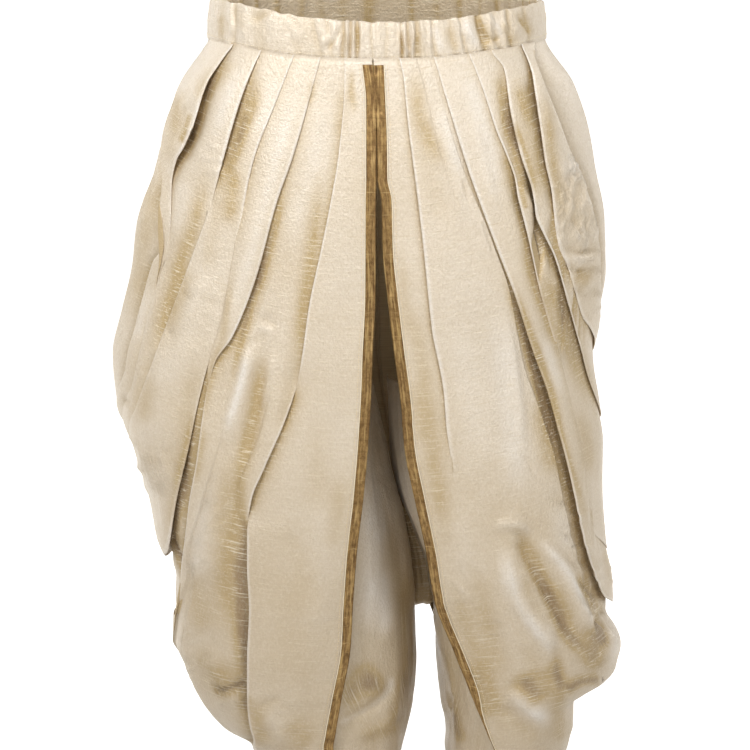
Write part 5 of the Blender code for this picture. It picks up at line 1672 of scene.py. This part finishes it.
def gold():
    """Metallic woven tape, tarnished in its valleys."""
    g = Graph("gold_tape")
    uv = g.add("ShaderNodeUVMap", uv_map="cloth").outputs[0]
    blotch = g.noise(g.stretch(uv, (240, 120, 1)), 1.0, 4.0, 0.7)
    streak = g.noise(g.stretch(uv, (420, 22, 1)), 1.0, 2.0, 0.6)
    weave = g.noise(g.stretch(uv, (300, 1500, 1)), 1.0, 0.0, 0.5)
    bands = g.noise(g.stretch(uv, (18, 240, 1)), 1.0, 2.0, 0.6)
    base = g.mix(g.span(blotch, 0.32, 0.68), (0.13, 0.066, 0.020, 1), (0.42, 0.262, 0.098, 1))
    base = g.mix(g.span(streak, 0.52, 0.68, 0.0, 0.65), base, (0.64, 0.44, 0.185, 1))
    base = g.mix(g.span(streak, 0.46, 0.34, 0.0, 0.6), base, (0.10, 0.045, 0.012, 1))
    base = g.mix(g.span(bands, 0.64, 0.76, 0.0, 0.6), base, (0.86, 0.64, 0.30, 1))
    base = g.mix(g.span(bands, 0.42, 0.28, 0.0, 0.5), base, (0.12, 0.055, 0.014, 1))
    g.put(g.shader.inputs["Base Color"], base)
    g.shader.inputs["Metallic"].default_value = 0.62
    g.put(g.shader.inputs["Roughness"], g.span(blotch, 0.3, 0.7, 0.50, 0.32))
    height = g.math("ADD", g.math("MULTIPLY", blotch, 0.8), g.math("MULTIPLY", weave, 0.25))
    height = g.math("ADD", height, g.math("MULTIPLY", streak, 0.6))
    g.put(g.shader.inputs["Normal"], g.bump(height, 0.6, 0.0010))
    return g.mat


def thread(name, colour, rough=0.55):
    g = Graph(name)
    twist = g.noise(g.add("ShaderNodeTexCoord").outputs["Object"], 900.0, 1.0, 0.5)
    pale = tuple(min(c * 1.1, 1.0) for c in colour[:3]) + (1,)
    g.put(g.shader.inputs["Base Color"], g.mix(g.span(twist, 0.3, 0.7), colour, pale))
    g.shader.inputs["Roughness"].default_value = rough
    g.shader.inputs["Sheen Weight"].default_value = 0.2
    g.put(g.shader.inputs["Normal"], g.bump(twist, 0.4, 0.0002))
    return g.mat


def pale_floor():
    g = Graph("pale_floor")
    grain = g.noise(g.add("ShaderNodeTexCoord").outputs["Object"], 3.0, 2.0, 0.5)
    g.put(g.shader.inputs["Base Color"], g.mix(grain, (0.80, 0.80, 0.80, 1), (0.84, 0.84, 0.835, 1)))
    g.shader.inputs["Roughness"].default_value = 0.9
    # behind the object it is lit as bright as a studio backdrop
    place = g.add("ShaderNodeTexCoord").outputs["Object"]
    parts = g.add("ShaderNodeSeparateXYZ")
    g.put(parts.inputs[0], place)
    far = g.add("ShaderNodeVectorMath")
    far.operation = "LENGTH"
    g.put(far.inputs[0], place)
    glow = g.math("MAXIMUM", g.span(parts.outputs["Y"], 0.15, 0.8, 0.0, 0.8), g.span(far.outputs["Value"], 1.8, 5.0, 0.0, 0.45))
    g.shader.inputs["Emission Color"].default_value = (1, 1, 1, 1)
    g.put(g.shader.inputs["Emission Strength"], glow)
    return g.mat


# ---------------------------------------------------------------- studio
def studio():
    scene = bpy.context.scene
    scene.view_settings.view_transform = "Standard"
    scene.view_settings.look = "None"
    scene.view_settings.exposure = 0.0
    world = bpy.data.worlds.new("studio")
    scene.world = world
    world.use_nodes = True
    tree = world.node_tree
    back = tree.nodes["Background"]
    place = tree.nodes.new("ShaderNodeTexCoord")
    parts = tree.nodes.new("ShaderNodeSeparateXYZ")
    level = tree.nodes.new("ShaderNodeMapRange")
    level.inputs["From Min"].default_value, level.inputs["From Max"].default_value = -0.3, 0.5
    level.inputs["To Min"].default_value, level.inputs["To Max"].default_value = 0.085, 0.55
    tree.links.new(place.outputs["Generated"], parts.inputs[0])
    tree.links.new(parts.outputs["Z"], level.inputs["Value"])
    tree.links.new(level.outputs[0], back.inputs["Strength"])
    back.inputs["Color"].default_value = (1.0, 0.965, 0.90, 1)

    def lamp(name, place, aim, size, power, colour=(1, 1, 1)):
        data = bpy.data.lights.new(name, "AREA")
        data.shape = "RECTANGLE"
        data.size, data.size_y = size
        data.energy = power
        data.color = colour
        obj = bpy.data.objects.new(name, data)
        scene.collection.objects.link(obj)
        obj.location = place
        obj.rotation_mode = "QUATERNION"
        obj.rotation_quaternion = (Vector(aim) - Vector(place)).to_track_quat("-Z", "Y")

    lamp("key", (-0.85, -1.55, 1.15), (0, 0, 0.10), (0.7, 0.7), 24.5, (1.0, 1.0, 0.99))
    lamp("fill", (1.3, -1.9, 0.75), (0, 0, 0.0), (0.9, 0.9), 11.5)
    lamp("top", (0.0, -0.9, 1.7), (0, 0, -0.1), (1.4, 0.8), 7)
    lamp("rear_left", (-2.2, 1.9, 0.8), (0, 0, -0.4), (1.2, 1.6), 16)
    lamp("rear_right", (2.2, 1.9, 0.8), (0, 0, -0.4), (1.2, 1.6), 16)

    # a wide plain floor, so that every side can be looked at
    ways = (-120.0, -40.0, -12.0, -4.0, -1.5, -0.6, 0.0, 0.6, 1.5, 4.0, 12.0, 40.0, 120.0)
    verts = [(x, y, -0.968) for y in ways for x in ways]
    faces = grid_faces(len(ways), len(ways))
    if np.cross(np.subtract(verts[faces[0][1]], verts[faces[0][0]]), np.subtract(verts[faces[0][2]], verts[faces[0][0]]))[2] < 0:
        faces = faces[:, ::-1]
    floor = mesh_object("floor", verts, faces, pale_floor())


# ---------------------------------------------------------------- make all
ROWS_FRONT = 248
ROWS_BACK = 210

make_camera()
# the inner faces of the cloth walls carry painted shade
inside = shaded_reverse()
silk_front = [silk("silk"), inside]
silk_inner = [silk("silk_inner", turn=True, shade_tint=0.02), inside]
silk_plain = silk_front[0]
# the silk again with extra painted shade, for the crotch
silk_painted_shade = silk("silk_shaded", shade_tint=0.2)
gold_mat = gold()
cream_thread = thread("cream_thread", (0.80, 0.70, 0.52, 1))
gold_thread = thread("pale_gold_thread", (0.74, 0.60, 0.36, 1))

right, right_q, right_n = front_drape(-1, "right_front_cloth", RIGHT_FRONT,
                                      [30, 12, 13, 12, 12, 16, 18, 17, 14], RIGHT_CREASES, 101, silk_front)
left, left_q, left_n = front_drape(1, "left_front_cloth", LEFT_FRONT,
                                   [26, 14, 13, 12, 12, 18, 16, 15, 14], LEFT_CREASES, 201, silk_front)
right_tape, right_pipe, rn, ro = gold_tape(-1, "right_gold_tape", right_q, gold_mat, 301)
left_tape, left_pipe, ln_, lo = gold_tape(1, "left_gold_tape", left_q, gold_mat, 401)
right_back, rbq = back_drape(-1, "right_back_cloth", BACK_RIGHT, [14, 9, 9, 9, 14, 14, 12, 12], RIGHT_FRONT, 501, silk_front)
left_back, lbq = back_drape(1, "left_back_cloth", BACK_LEFT, [14, 9, 9, 9, 14, 14, 12, 12], LEFT_FRONT, 601, silk_front)
right_inner, _ = inner_leg(-1, "right_inner_cloth", INNER_CREASES_RIGHT, 701, silk_inner)
left_inner, _ = inner_leg(1, "left_inner_cloth", INNER_CREASES_LEFT, 801, silk_inner)
gusset = crotch("crotch_cloth", silk_painted_shade)
band, band_line, band_n = waistband("waistband_casing", silk_plain)
right_cuff = cuff(-1, "right_ankle_cuff", silk_plain, 91)
left_cuff = cuff(1, "left_ankle_cuff", silk_plain, 92)

pipes = [tube("right_piping", right_pipe, rn, 0.55 * MM, cream_thread),
         tube("left_piping", left_pipe, ln_, 0.55 * MM, cream_thread)]
seams = [stitch_row("waist_stitches", band_line, band_n, 3.0 * MM, 2.1 * MM, 0.28 * MM, cream_thread, 5)]
for nm, q, line, n, out, sd in (("right_topstitch", right_q, right_pipe, rn, ro, 6),
                                ("left_topstitch", left_q, left_pipe, ln_, lo, 7)):
    path = along_edge(q[1:], np.array([TAPE_WIDTH + 4.0 * MM, TAPE_WIDTH + 4.2 * MM]), 620)[:, 0]
    seams.append(stitch_row(nm, path + n * 0.15 * MM, n, 3.1 * MM, 2.0 * MM, 0.25 * MM, gold_thread, sd))

# ---------------------------------------------------------------- pieces, attached to the root in place of their CAD parts
pairs = [
    # piece, node, width and length of the cut, its area, held, slot
    (right, "right_front_drape", (0.52, 0.96), 0.37, "gathered", "silk"),
    (left, "left_front_drape", (0.50, 0.96), 0.35, "gathered", "silk"),
    (right_back, "right_back", (0.56, 0.96), 0.39, "gathered", "silk"),
    (left_back, "left_back", (0.54, 0.96), 0.36, "gathered", "silk"),
    (right_inner, "right_inner_leg", (0.28, 0.56), 0.145, "hung", "silk"),
    (left_inner, "left_inner_leg", (0.27, 0.56), 0.13, "hung", "silk"),
    (gusset, "crotch_gusset", (0.03, 0.15), 0.0040, "hung", "silk"),
    (band, "waistband", (1.05, 0.084), None, "gathered", "silk"),
    (right_tape, "right_border", (0.0135, 0.95), None, "hung", "gold_tape"),
    (left_tape, "left_border", (0.0135, 0.95), None, "hung", "gold_tape"),
    (right_cuff, "right_cuff", (0.36, 0.084), None, "gathered", "silk"),
    (left_cuff, "left_cuff", (0.36, 0.084), None, "gathered", "silk"),
]
for piece, node, flat, area, held, slot in pairs:
    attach(piece, "root")
    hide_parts(node)
for piece in pipes + seams:
    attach(piece, "root")

studio()
